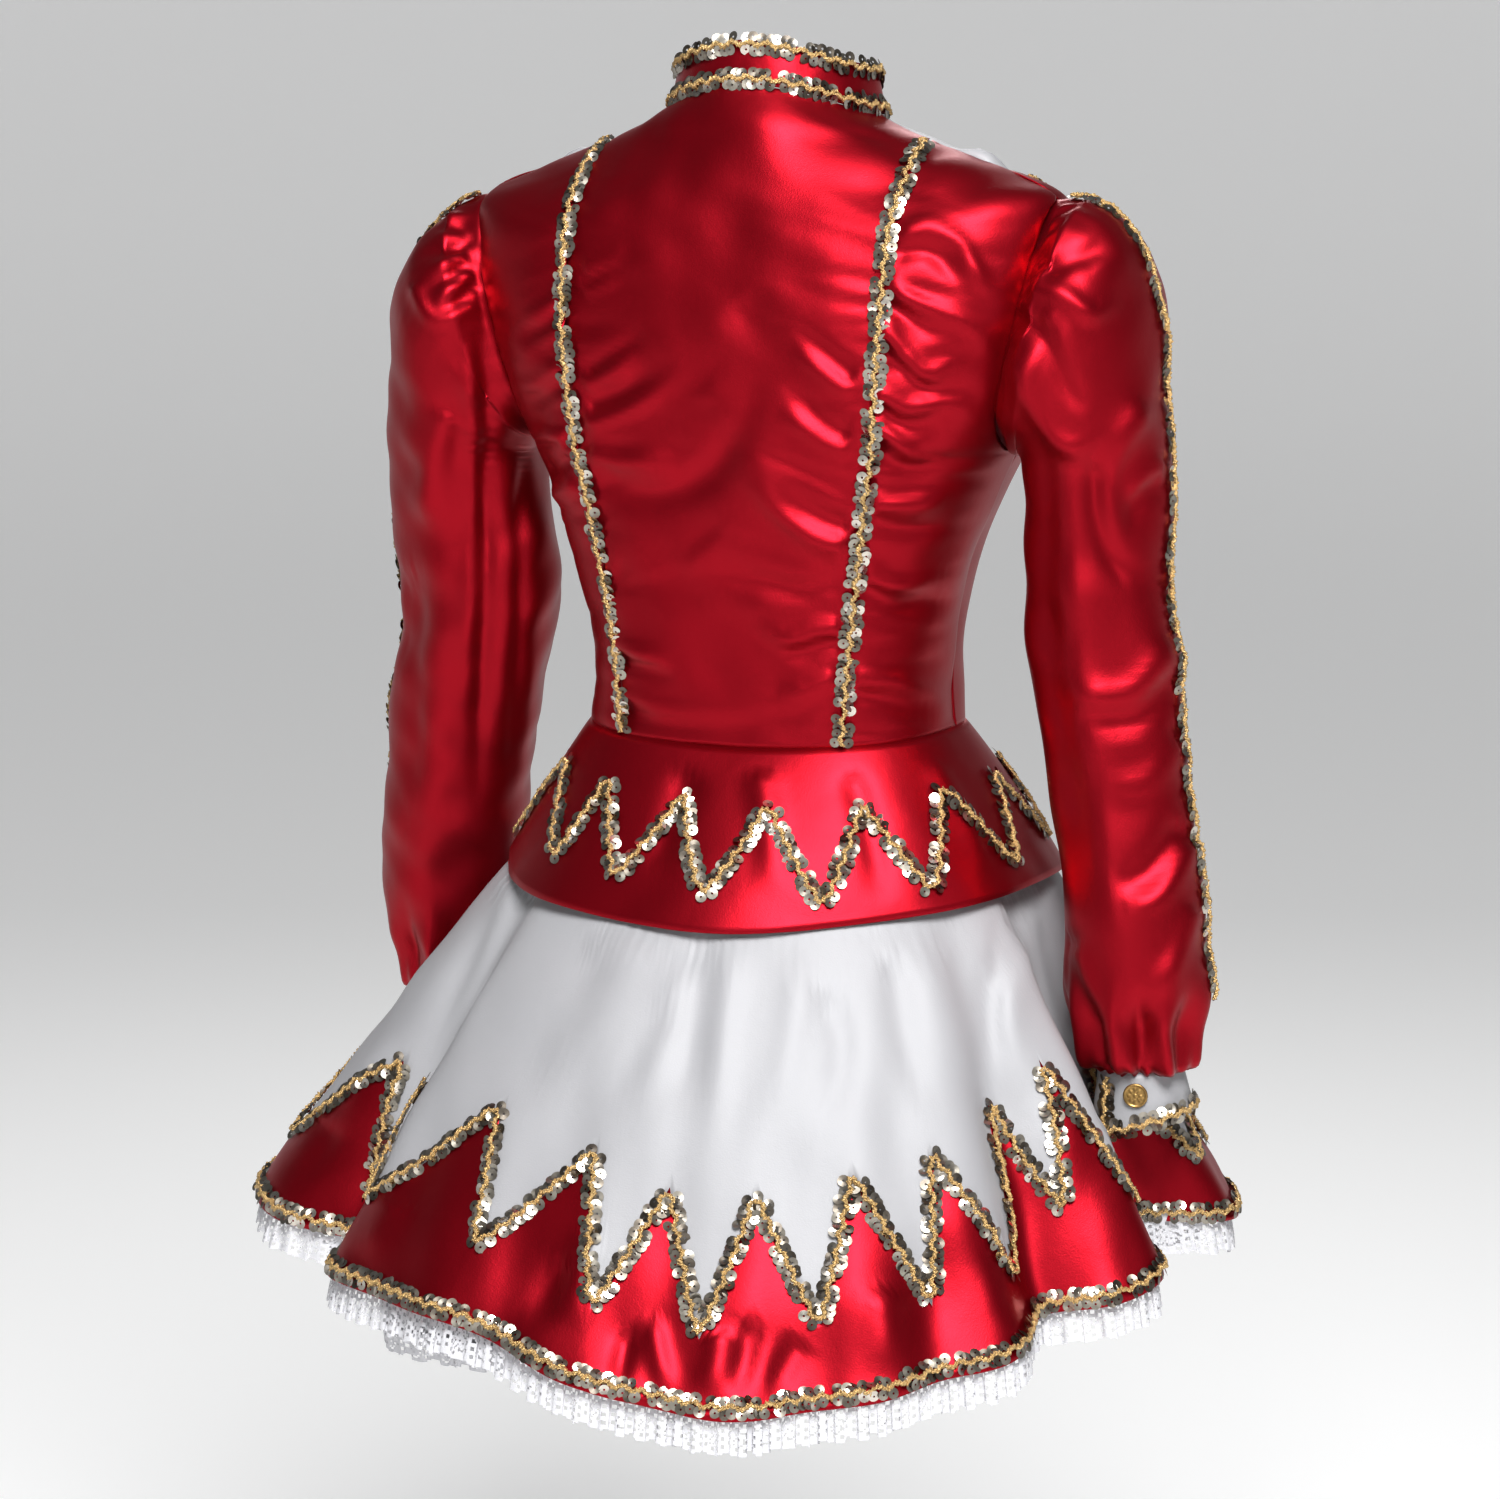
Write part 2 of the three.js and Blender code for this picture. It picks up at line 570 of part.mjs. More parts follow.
const BUTTON_SIDES = 20;
const BUTTON_PLACE = { angle: 78.75, share: 0.36 };
function button(word, at) {
  const face = at(BUTTON_PLACE.angle, BUTTON_PLACE.share, 0);
  const out = at(BUTTON_PLACE.angle, BUTTON_PLACE.share, -10).sub(face).normalize();
  const profile = [
    new THREE.Vector2(0, 0),
    new THREE.Vector2(BUTTON_RADIUS * 0.5, 0),
    new THREE.Vector2(BUTTON_RADIUS, BUTTON_THICK * 0.45),
    new THREE.Vector2(BUTTON_RADIUS, BUTTON_THICK * 0.7),
    new THREE.Vector2(BUTTON_RADIUS * 0.7, BUTTON_THICK),
    new THREE.Vector2(0, BUTTON_THICK),
  ];
  const geometry = new THREE.LatheGeometry(profile, BUTTON_SIDES);
  const mesh = addMesh(`cuff_button_${word}`, geometry, GOLD);
  mesh.quaternion.setFromUnitVectors(vec(0, 1, 0), out);
  mesh.position.copy(face.addScaledVector(out, SEAM));
}

sleeve('left', LEFT_ARM, 1);
sleeve('right', RIGHT_ARM, -1);

// Peplum: angle is degrees from the centre back, share runs from the waist to its edge
function waistPoint(angle) {
  const row = TORSO[TORSO.length - 1];
  const c = Math.cos(rad(angle));
  const s = Math.sin(rad(angle));
  const square = c >= 0 ? row.square : FRONT_SQUARE;
  const depth = c >= 0 ? row.back - row.mid : row.mid - row.front;
  const reach = ((Math.abs(s) / row.half) ** square + (Math.abs(c) / depth) ** square) ** (-1 / square);
  const z = row.zSide + (row.zBack - row.zSide) * c * c;
  return vec(-reach * s, row.mid + reach * c, z);
}

function byQuarter(values, angle) {
  const c = Math.cos(rad(angle));
  return values.side + ((c >= 0 ? values.back : values.front) - values.side) * c * c;
}

function peplumPoint(angle, share) {
  const top = waistPoint(angle);
  const reach = byQuarter(PEPLUM_EDGE_RADIUS, angle);
  const edgeZ = byQuarter(PEPLUM_EDGE_Z, angle);
  const edge = vec(-reach * Math.sin(rad(angle)), reach * Math.cos(rad(angle)), edgeZ);
  const flare = share ** 0.92;
  const wave = 2.2 * share * Math.sin(rad(angle * 7 + 30));
  const p = vec(top.x + (edge.x - top.x) * flare, top.y + (edge.y - top.y) * flare, 0);
  const out = vec(p.x, p.y, 0).normalize();
  p.addScaledVector(out, wave);
  p.z = top.z - SEAM - 0.5 + (edge.z - top.z) * share;
  return p;
}

// Skirt: hangs from the waist close inside the peplum, then flares to the fluted edge
function skirtReach(angle, share) {
  const waist = waistPoint(angle);
  const out = vec(-Math.sin(rad(angle)), Math.cos(rad(angle)), 0);
  const waistReach = waist.x * out.x + waist.y * out.y - CLOTH - SEAM * 3;
  const coveredReach = byQuarter(PEPLUM_EDGE_RADIUS, angle) - PEPLUM_CLEARANCE;
  const zTop = waist.z - SKIRT_TOP_DROP;
  const covered = (zTop - byQuarter(PEPLUM_EDGE_Z, angle)) / (zTop - around(HEM, 'z', angle));
  if (share < covered) return waistReach + (coveredReach - waistReach) * (share / covered);
  const below = (share - covered) / (1 - covered);
  let reach = coveredReach + (around(HEM, 'radius', angle) - coveredReach) * below ** SKIRT_FLARE;
  for (const flute of FLUTES) {
    const grow = Math.max(0, (share - flute.from) / (1 - flute.from)) ** FLUTE_GROWTH;
    const away = Math.abs(turn(flute.at, angle) / flute.width);
    reach += flute.depth * grow * Math.exp(-(away ** (flute.steep ?? 2)));
  }
  return reach;
}

function skirtPoint(angle, share) {
  const reach = skirtReach(angle, share);
  const zTop = waistPoint(angle).z - SKIRT_TOP_DROP;
  const z = zTop + (around(HEM, 'z', angle) - zTop) * share;
  return vec(-Math.sin(rad(angle)) * reach, Math.cos(rad(angle)) * reach, z);
}

// Straight between the columns, as the faceted walls are
function betweenColumns(f, columns) {
  return (angle, share) => {
    const width = 360 / columns;
    const low = Math.floor((angle - TOOTH_SHIFT) / width) * width + TOOTH_SHIFT;
    return f(low, share).lerp(f(low + width, share), (angle - low) / width);
  };
}

const SKIRT_COVERED = 0.28;
const skirtColumns = SKIRT_TEETH * 4;
const peplumColumns = PEPLUM_TEETH * 4;
const skirtLength = (angle) => skirtPoint(angle, 0).distanceTo(skirtPoint(angle, 1));

// Share down the skirt of the zigzag seam, at a column: points on every fourth column
function zigzagShare(column) {
  const angle = TOOTH_SHIFT + 360 * column / skirtColumns;
  const height = [1, 0.5, 0, 0.5][column % 4];
  return 1 - (VALLEY_RISE + TOOTH_TOP * height) / skirtLength(angle);
}

function ringGrid(columns, shift, rowsAt, f, thickness) {
  const outer = rowsAt(0).map(() => []);
  for (let c = 0; c < columns; c += 1) {
    rowsAt(c).forEach((share, r) => outer[r].push(f(shift + 360 * c / columns, share)));
  }
  return { outer, inner: offsetGrid(outer, -thickness) };
}
const bodyAxis = (angle, share) => vec(0, 0, WAIST_Z - 300 * share - 200);

// Peplum and its zigzag braid
const peplum = ringGrid(peplumColumns, PEPLUM_TOOTH_SHIFT, () => [0, 0.5, 1], peplumPoint, CLOTH);
addWall('peplum', peplum.outer, peplum.inner, true, RED);

const ZIGZAG_LIFT = 0.8;
// The band of a zigzag braid: its edges are the zigzag moved up and down the cloth
function zigzagBand(name, columns, shift, middle, f, length) {
  const rows = [[], []];
  const lower = [[], []];
  for (let c = 0; c < columns; c += 1) {
    const angle = shift + 360 * c / columns;
    const phase = c % 4;
    const pitch = f(angle, middle(c)).distanceTo(f(angle + 360 / columns, middle(c))) * 2;
    const rise = Math.abs(middle(0) - middle(2)) * length(angle);
    const half = (BRAID_WIDTH / 2) * Math.hypot(pitch, rise) / pitch;
    const tip = BRAID_WIDTH * 0.7;
    const up = phase === 0 ? tip : half;
    const down = phase === 2 ? tip : half;
    [middle(c) - up / length(angle), middle(c) + down / length(angle)].forEach((share, r) => {
      const normal = normalOf(f, angle, Math.min(0.98, share), bodyAxis);
      rows[r].push(f(angle, share).addScaledVector(normal, ZIGZAG_LIFT + BRAID_THICK));
      lower[r].push(f(angle, share).addScaledVector(normal, ZIGZAG_LIFT));
    });
  }
  addWall(name, rows, lower, true, GOLD);
}
const peplumZigzag = (c) => [PEPLUM_PEAK, (PEPLUM_PEAK + PEPLUM_VALLEY) / 2, PEPLUM_VALLEY,
  (PEPLUM_PEAK + PEPLUM_VALLEY) / 2][c % 4];
const peplumLength = (angle) => peplumPoint(angle, 0).distanceTo(peplumPoint(angle, 1));
zigzagBand('braid_peplum', peplumColumns, PEPLUM_TOOTH_SHIFT, peplumZigzag, peplumPoint, peplumLength);

// White skirt above the zigzag seam, red border below it
const seamShare = 1.2 * SEAM / SKIRT_LENGTH;
const whiteRows = (c) => [
  0,
  SKIRT_COVERED,
  (SKIRT_COVERED + zigzagShare(c)) / 2,
  zigzagShare(c) - seamShare,
];
const borderRows = (c) => [zigzagShare(c) + seamShare, 1];
const skirtWhite = ringGrid(skirtColumns, TOOTH_SHIFT, whiteRows, skirtPoint, CLOTH);
addWall('skirt_white', skirtWhite.outer, skirtWhite.inner, true, WHITE);
const border = ringGrid(skirtColumns, TOOTH_SHIFT, borderRows, skirtPoint, CLOTH);
addWall('skirt_border', border.outer, border.inner, true, RED);
zigzagBand('braid_skirt', skirtColumns, TOOTH_SHIFT, zigzagShare, skirtPoint, skirtLength);

// Braid along the skirt's edge
const hemRows = () => [1 - (BRAID_WIDTH + 1) / SKIRT_LENGTH, 1 - 1 / SKIRT_LENGTH];
const hemGrid = (lift) => ringGrid(skirtColumns, TOOTH_SHIFT, hemRows, skirtPoint, -lift).inner;
addWall('braid_hem', hemGrid(BRAID_LIFT + BRAID_THICK), hemGrid(BRAID_LIFT), true, GOLD);

// Lace ruffle behind the border, in even gathers
const facetedSkirt = betweenColumns(skirtPoint, skirtColumns);
function laceRing(depth, columns) {
  const rows = [[], []];
  for (let c = 0; c < columns; c += 1) {
    const angle = TOOTH_SHIFT + 360 * c / columns;
    const wave = (c % 2 ? 1 : -1) * LACE_WAVE_DEPTH;
    const edge = facetedSkirt(angle, 1);
    const out = vec(edge.x, edge.y, 0).normalize();
    const slope = facetedSkirt(angle, 1).sub(facetedSkirt(angle, 0.94)).normalize();
    const behind = CLOTH * 2.15 + SEAM * 2 + LACE_WAVE_DEPTH * LACE_SEWN + depth;
    const top = edge.clone().addScaledVector(slope, -LACE_TUCK)
      .addScaledVector(out, -behind + wave * LACE_SEWN);
    const drop = slope.clone().multiplyScalar(0.45).add(vec(0, 0, -0.75)).normalize();
    const foot = edge.clone().addScaledVector(drop, LACE_DROP).addScaledVector(out, -behind - 2 + wave);
    rows[0].push(top);
    rows[1].push(foot);
  }
  return rows;
}
addWall('lace_ruffle', laceRing(0, LACE_WAVES * 2), laceRing(1.2, LACE_WAVES * 2), true, LACE);

// Underskirt: hangs inside, its edge shows below the lace at the wearer's left
const UNDER_COLUMNS = 60;
const UNDER_EDGE_Z = { side: -690, back: -706, front: -688 };
const UNDER_LEFT = { at: -34, width: 24, drop: 14 };
function underPoint(angle, share) {
  const zTop = waistPoint(angle).z - SKIRT_TOP_DROP;
  const drop = UNDER_LEFT.drop * Math.exp(-((turn(UNDER_LEFT.at, angle) / UNDER_LEFT.width) ** 2));
  const z = zTop + (byQuarter(UNDER_EDGE_Z, angle) - drop - zTop) * share;
  let reach = Infinity;
  for (let near = -6; near <= 6; near += 1) {
    const skirtShare = (zTop - z) / (zTop - around(HEM, 'z', angle + near));
    reach = Math.min(reach, skirtReach(angle + near, Math.min(1.02, skirtShare)));
  }
  reach -= CLOTH + SEAM + 0.6 + UNDERSKIRT_GAP * share;
  return vec(-Math.sin(rad(angle)) * reach, Math.cos(rad(angle)) * reach, z);
}
const under = ringGrid(UNDER_COLUMNS, TOOTH_SHIFT, () => [0, 0.28, 1], underPoint, CLOTH);
addWall('underskirt', under.outer, under.inner, true, WHITE);

export default dress;
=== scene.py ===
"""Looks of the majorette dress: satin panels with their drag folds, gimp and sequin
braid, lace with its pattern, cuffs and buttons, light, floor and camera.
Lengths are millimetres up to the meshes, which are metres."""

import bpy
import numpy as np
from mathutils.kdtree import KDTree
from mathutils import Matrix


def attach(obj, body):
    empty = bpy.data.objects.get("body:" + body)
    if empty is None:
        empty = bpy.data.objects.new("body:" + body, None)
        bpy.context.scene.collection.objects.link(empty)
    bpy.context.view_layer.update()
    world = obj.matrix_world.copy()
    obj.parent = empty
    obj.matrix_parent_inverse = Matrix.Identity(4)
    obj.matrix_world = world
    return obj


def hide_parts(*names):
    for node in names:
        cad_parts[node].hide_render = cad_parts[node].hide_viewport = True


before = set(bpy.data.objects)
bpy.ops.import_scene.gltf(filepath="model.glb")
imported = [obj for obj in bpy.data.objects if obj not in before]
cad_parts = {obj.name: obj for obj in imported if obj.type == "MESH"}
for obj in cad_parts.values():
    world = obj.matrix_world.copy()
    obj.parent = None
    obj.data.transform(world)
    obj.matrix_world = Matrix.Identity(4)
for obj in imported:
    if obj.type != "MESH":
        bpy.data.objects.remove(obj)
MM = 0.001  # metres in a millimetre

# Same tables as the solids. Jacket rings from the neck to the waist: half width, middle, back and front,
# z at the side, back and front, corner fullness of the back
TORSO = np.array([
    [66, 6, 66, -44, -9, 8, -46, 2.0],
    [84, 12, 78, -58, -17, -10, -62, 1.85],
    [102, 16, 84, -68, -24, -28, -75, 1.75],
    [146, 21, 95, -86, -40, -56, -100, 1.85],
    [184, 25, 103, -99, -58, -84, -122, 2.2],
    [185, 18, 108, -107, -88, -112, -142, 2.5],
    [181, 12, 111, -113, -118, -137, -160, 2.7],
    [174, 8, 111, -117, -150, -162, -178, 2.8],
    [164, 5, 110, -118, -180, -187, -196, 2.8],
    [152, 3, 108, -115, -208, -211, -215, 2.8],
    [139, 3, 106, -109, -235, -235, -236, 2.8],
    [128, 3, 103, -102, -262, -262, -262, 2.8],
    [119.5, 3, 100, -95, -290, -290, -290, 2.8],
    [113.5, 3, 97, -89, -320, -320, -320, 2.8],
    [111.5, 3, 95.5, -86, -350, -351, -350, 2.8],
    [114.5, 4, 95, -86, -376, -382, -382, 2.7],
], float)
FRONT_SQUARE = 2.3
LAST = len(TORSO) - 1
# Seams: the ring each starts on, then its x on that ring and the ones below
PRINCESS = (2, [102, 103, 102, 101, 100, 98, 95.5, 93, 88, 84, 79.5, 75.5, 72.5, 70.5])
PLASTRON = (3, [146, 166, 155, 140, 126, 113, 102, 92, 82, 73, 65, 58, 52])
ARMHOLE_BACK = (4, [184, 177, 170, 163, 156, 152])
ARMHOLE_FRONT = (4, [184, 168, 158, 150, 147, 152])

# Sleeve rings: x away from the middle, y, z, half width, half depth, rise of the outer side
RIGHT_ARM = np.array([
    [180, 20, -133, 22, 62, 75], [191, 20, -138, 28, 67, 71], [199, 20, -148, 36, 67, 60],
    [204, 19, -165, 39, 65, 47], [206, 18, -187, 41, 61, 33], [207, 18, -216, 42.5, 56, 20],
    [207, 18, -254, 44, 52, 12], [210, 19, -306, 45, 49, 6], [217, 21, -354, 44, 47, 5],
    [225, 23, -403, 41.5, 45, 5], [232, 26, -446, 40, 44, 5], [238, 29, -485, 42.5, 45, 5],
    [241, 31, -520, 43, 45, 5], [241, 32, -546, 36, 39, 4], [243, 33, -570, 25, 28, 2],
], float)
LEFT_ARM = np.array([
    [182, 19, -136, 23, 63, 72], [194, 18, -144, 33, 68, 63], [203, 16, -158, 38, 68, 57],
    [208, 14, -172, 42, 67, 47], [209, 11, -190, 44, 64, 36], [210, 8, -217, 48, 60, 22],
    [207, 4, -254, 53, 57, 13], [207, -1, -300, 53, 55, 8], [213, -8, -350, 50, 53, 5],
    [225, -16, -400, 48, 51, 5], [236, -26, -446, 46.5, 49, 5], [244, -36, -490, 46, 48, 5],
    [249, -44, -525, 45, 47, 4], [251, -49, -552, 37, 40, 3], [252, -52, -576, 26, 29, 2],
], float)

# Skirt edge: degrees from the centre back, radius, z
HEM = np.array([
    [-160, 300, -694], [-125, 300, -684], [-95, 312, -676], [-68, 330, -674], [-48, 318, -690],
    [-18, 312, -694], [0, 312, -718], [15, 312, -730], [30, 309, -722], [45, 305, -709],
    [60, 300, -692], [75, 302, -674], [105, 284, -682], [140, 294, -692], [175, 300, -698],
], float)
# Flutes: degrees, width, depth at the edge, where they start, steepness
FLUTES = [
    (-49, 6, -46, 0.16, 2), (-30, 8, -5, 0.3, 2), (-12, 6, -9, 0.35, 2), (8, 5, -6, 0.45, 2),
    (24, 5, -8, 0.4, 2), (39, 4.5, -10, 0.4, 2), (56, 5, -36, 0.25, 2), (82.5, 10, -70, 0.12, 4),
    (124, 8, -30, 0.2, 2), (152, 8, -24, 0.25, 2), (178, 7, -30, 0.2, 2), (-156, 8, -26, 0.25, 2),
    (-132, 7, -24, 0.25, 2), (-102, 12, -70, 0.12, 4), (-78, 6, -12, 0.35, 2),
]
# Peplum edge at the side, back and front
PEPLUM_REACH = (176, 163, 158)
PEPLUM_Z = (-466, -481, -476)
SKIRT_DROP = 2           # the skirt starts this far below the waist seam
SKIRT_INSIDE = 8         # the skirt lies this far inside the peplum's edge
FLARE = 0.92             # under 1, so peplum and skirt spring out below their seam
UNDER_Z = (-690, -706, -688)   # underskirt edge at the side, back and front


def smooth_step(x):
    x = np.clip(x, 0, 1)
    return x * x * (3 - 2 * x)


def turned(a, b):
    return (b - a + 180) % 360 - 180


def curve(before, a, b, after, t):
    """Smooth values from a to b, with the values before and after them."""
    bend = 2 * before - 5 * a + 4 * b - after
    swing = 3 * (a - b) + after - before
    return a + 0.5 * t * (b - before + t * (bend + t * swing))


def along(table, t):
    """Smooth values of a table at fractional rows."""
    table = np.asarray(table, float)
    count = len(table)
    t = np.clip(np.asarray(t, float), 0, count - 1)
    k = np.minimum(np.floor(t).astype(int), count - 2)
    f = t - k
    if table.ndim > 1:
        f = f[..., None]
    a, b = table[k], table[k + 1]
    before, after = table[np.maximum(k - 1, 0)], table[np.minimum(k + 2, count - 1)]
    return curve(before, a, b, after, f)


def around(column, angle):
    """Smooth values round the skirt's edge."""
    at = HEM[:, 0]
    count = len(at)
    offset = (np.asarray(angle, float) - at[0]) % 360
    k = np.searchsorted(at - at[0], offset, side="right") - 1
    gap = (at[(k + 1) % count] - at[k]) % 360
    t = (offset - (at[k] - at[0])) / gap
    v = HEM[:, column]
    a, b = v[k], v[(k + 1) % count]
    before, after = v[(k - 1) % count], v[(k + 2) % count]
    return curve(before, a, b, after, t)


# Camera of the photograph: where it stands, and its focal length and middle in pixels of the photograph
TURN = np.radians(21.5)
PITCH = np.radians(9.3)
DISTANCE = 2562.0
HEIGHT = 20.5
FOCAL = 4187.0
MIDDLE = (783.0, 749.5)
PHOTO_WIDTH = 1500
RIGHTWARD = np.array([-np.cos(TURN), -np.sin(TURN), 0])
TOWARD = np.array([-np.sin(TURN), np.cos(TURN), 0])
EYE = TOWARD * DISTANCE + np.array([0, 0, HEIGHT])


def seen_at(points):
    """Where points are seen in the photograph, in its pixels."""
    ahead = DISTANCE - points @ TOWARD
    drop = HEIGHT - points[..., 2]
    depth = ahead * np.cos(PITCH) + drop * np.sin(PITCH)
    rise = ahead * np.sin(PITCH) - drop * np.cos(PITCH)
    across = MIDDLE[0] + FOCAL * (points @ RIGHTWARD) / depth
    return np.stack([across, MIDDLE[1] - FOCAL * rise / depth], -1)


def unit(v):
    size = np.linalg.norm(v, axis=-1, keepdims=True)
    return v / np.where(size < 1e-9, 1, size)


def grid_normals(grid, closed):
    down = np.gradient(grid, axis=0)
    if closed:
        across = (np.roll(grid, -1, axis=1) - np.roll(grid, 1, axis=1)) / 2
    else:
        across = np.gradient(grid, axis=1)
    normals = unit(np.cross(down, across))
    facing = (normals * (grid - grid.mean(axis=(0, 1)))).sum()
    return -normals if facing < 0 else normals


FOLD_STRENGTH = 0.33


def fold_line(points):
    points = np.array(points, float)
    return along(points, np.linspace(0, len(points) - 1, 14 * len(points)))


def relief(grid, normals, folds):
    """Height of drawn folds: each is a slope, a half width in pixels and the line it follows."""
    points = grid.reshape(-1, 3)
    seen = seen_at(points)
    facing = (normals.reshape(-1, 3) * unit(EYE - points)).sum(-1)
    height = np.zeros(len(points))
    for slope, width, line in folds:
        line = fold_line(line)
        near = np.where(((seen > line.min(0) - 3 * width) & (seen < line.max(0) + 3 * width)).all(1))[0]
        if len(near) == 0:
            continue
        gap = np.linalg.norm(seen[near, None] - line[None], axis=2)
        t = gap.argmin(1) / (len(line) - 1)
        taper = smooth_step(t / 0.14) * smooth_step((1 - t) / 0.45)
        strength = slope * FOLD_STRENGTH * min(width, 6 + 0.25 * width)
        height[near] += strength * taper * np.exp(-(gap.min(1) / width) ** 2)
    return (height * smooth_step(facing * 4)).reshape(grid.shape[:2])


def unevenness(grid, size, amount, seed):
    """Slow random waves of cloth, and smaller ones between them."""
    local = np.random.default_rng(seed)
    height = np.zeros(grid.shape[:2])
    for octave in (1.0, 0.42):
        for _ in range(7):
            way = unit(local.normal(size=3))
            pitch = octave * size * local.uniform(0.7, 1.5)
            height += octave * np.sin(grid @ way * 2 * np.pi / pitch + local.uniform(0, 6.3))
    return height * amount / 2.6


def make(name, points, faces, materials, which=None):
    mesh = bpy.data.meshes.new(name)
    mesh.from_pydata((np.asarray(points) * MM).tolist(), [], [list(map(int, f)) for f in faces])
    for material in materials:
        mesh.materials.append(material)
    mesh.polygons.foreach_set("use_smooth", np.ones(len(mesh.polygons), bool))
    if which is not None:
        mesh.polygons.foreach_set("material_index", np.asarray(which, np.int32))
    mesh.update()
    piece = bpy.data.objects.new(name, mesh)
    bpy.context.scene.collection.objects.link(piece)
    return piece


def grid_faces(rows, columns, closed, start=0):
    r, c = np.meshgrid(np.arange(rows - 1), np.arange(columns if closed else columns - 1), indexing="ij")
    n = (c + 1) % columns
    faces = np.stack([r * columns + c, (r + 1) * columns + c, (r + 1) * columns + n, r * columns + n], -1)
    return faces.reshape(-1, 4) + start


def shell(grid, thickness, closed):
    """A closed wall whose outer face is the grid."""
    normals = grid_normals(grid, closed)
    rows, columns = grid.shape[:2]
    inner = grid - normals * thickness
    count = rows * columns
    outer_faces = grid_faces(rows, columns, closed)
    a, b, d = (grid.reshape(-1, 3)[outer_faces[:, k]] for k in (0, 1, 3))
    out = (np.cross(b - a, d - a) * normals.reshape(-1, 3)[outer_faces[:, 0]]).sum()
    inner_faces = outer_faces[:, ::-1] + count
    edge = np.arange(columns)
    if not closed:
        edge = edge[:-1]
    n = (edge + 1) % columns
    low = (rows - 1) * columns
    rims = [np.stack([edge, n, n + count, edge + count], -1),
            np.stack([low + n, low + edge, low + edge + count, low + n + count], -1)]
    if not closed:
        r = np.arange(rows - 1) * columns
        rims.append(np.stack([r + columns, r, r + count, r + columns + count], -1))
        e = r + columns - 1
        rims.append(np.stack([e, e + columns, e + columns + count, e + count], -1))
    faces = np.concatenate([outer_faces, inner_faces] + rims)
    if out < 0:
        faces = faces[:, ::-1]
    return np.concatenate([grid.reshape(-1, 3), inner.reshape(-1, 3)]), faces


def add_node(material, kind, inputs=(), **settings):
    node = material.node_tree.nodes.new(kind)
    for key, value in settings.items():
        setattr(node, key, value)
    for key, value in dict(inputs).items():
        if isinstance(value, bpy.types.NodeSocket):
            material.node_tree.links.new(value, node.inputs[key])
        else:
            node.inputs[key].default_value = value
    return node


def colour(code):
    """Linear colour of an sRGB hex code."""
    parts = [int(code[k:k + 2], 16) / 255 for k in (0, 2, 4)]
    return tuple(p / 12.92 if p <= 0.04045 else ((p + 0.055) / 1.055) ** 2.4 for p in parts) + (1.0,)


# Patterns, as repeats in a metre
WEAVE = 1100.0         # 0.9 mm: satin's threads lie 0.15 mm apart, drawn coarser to show
SLUB = 45.0            # 22 mm: slow unevenness of the pressed cloth
TWIST = 1300.0         # 0.8 mm: the gimp's wrapped foil, really 0.4 mm, drawn coarser to show
LACE_THREAD = 1500.0   # 0.7 mm: the lace's thread, really 0.3 mm, drawn coarser to show


def new_material(name):
    material = bpy.data.materials.new(name)
    material.use_nodes = True
    return material, material.node_tree.nodes["Principled BSDF"]


def satin(name, code, roughness, gloss):
    """Polyester satin: a soft gloss, like that of metal in the red, over a fine and slightly uneven weave."""
    material, surface = new_material(name)
    surface.inputs["Base Color"].default_value = colour(code)
    surface.inputs["Roughness"].default_value = roughness
    surface.inputs["Metallic"].default_value = gloss
    place = add_node(material, "ShaderNodeTexCoord").outputs["Object"]
    weave = add_node(material, "ShaderNodeTexNoise", {"Vector": place, "Scale": WEAVE, "Detail": 2.0})
    slub = add_node(material, "ShaderNodeTexNoise", {"Vector": place, "Scale": SLUB, "Detail": 3.0})
    fine = add_node(material, "ShaderNodeBump", {
        "Height": weave.outputs["Fac"], "Strength": 0.3, "Distance": 0.0003})
    soft = add_node(material, "ShaderNodeBump", {
        "Height": slub.outputs["Fac"], "Strength": 0.16, "Distance": 0.002, "Normal": fine.outputs["Normal"]})
    material.node_tree.links.new(soft.outputs["Normal"], surface.inputs["Normal"])
    return material


def metal(name, code, roughness, weight=1.0):
    """A bright or foiled surface."""
    material, surface = new_material(name)
    surface.inputs["Base Color"].default_value = colour(code)
    surface.inputs["Roughness"].default_value = roughness
    surface.inputs["Metallic"].default_value = weight
    return material


# Dyed polyester satin: strong red lights and nearly black red shade
RED = satin("red satin", "930617", 0.41, 0.9)
# Undyed polyester satin: pale soft lights, hardly any mirror; darker than the real cloth, to suit the key light
WHITE = satin("white satin", "959598", 0.56, 0.06)
# Gold foil wrapped round a yarn: many small glints along the twist
GIMP = metal("gold gimp thread", "cdab73", 0.32, 0.8)
# Pressed and silvered film sequins in three copies of one silver: each is painted light or dark as a whole, a
# painted glint or painted shade for how it lies to the light
SILVER = metal("silver sequin", "9a9489", 0.36)
# painted shade: the sequin's silver made darker, as for one turned away from the light
SEQUIN_PAINTED_SHADE = metal("sequin with painted shade", "6a635a", 0.38)
# painted glint: the sequin's silver made paler, as for one that catches the light
SEQUIN_PAINTED_GLINT = metal("sequin with painted glint", "c8c0b5", 0.26)
# Pressed brass, antiqued: warm and half bright on its raised lines
BUTTON = metal("antiqued brass", "9a7b4a", 0.34)
# Machine lace of cotton thread: matt and rough
LACE, lace_surface = new_material("white lace thread")
lace_surface.inputs["Base Color"].default_value = colour("c8c8cc")
lace_surface.inputs["Roughness"].default_value = 0.75

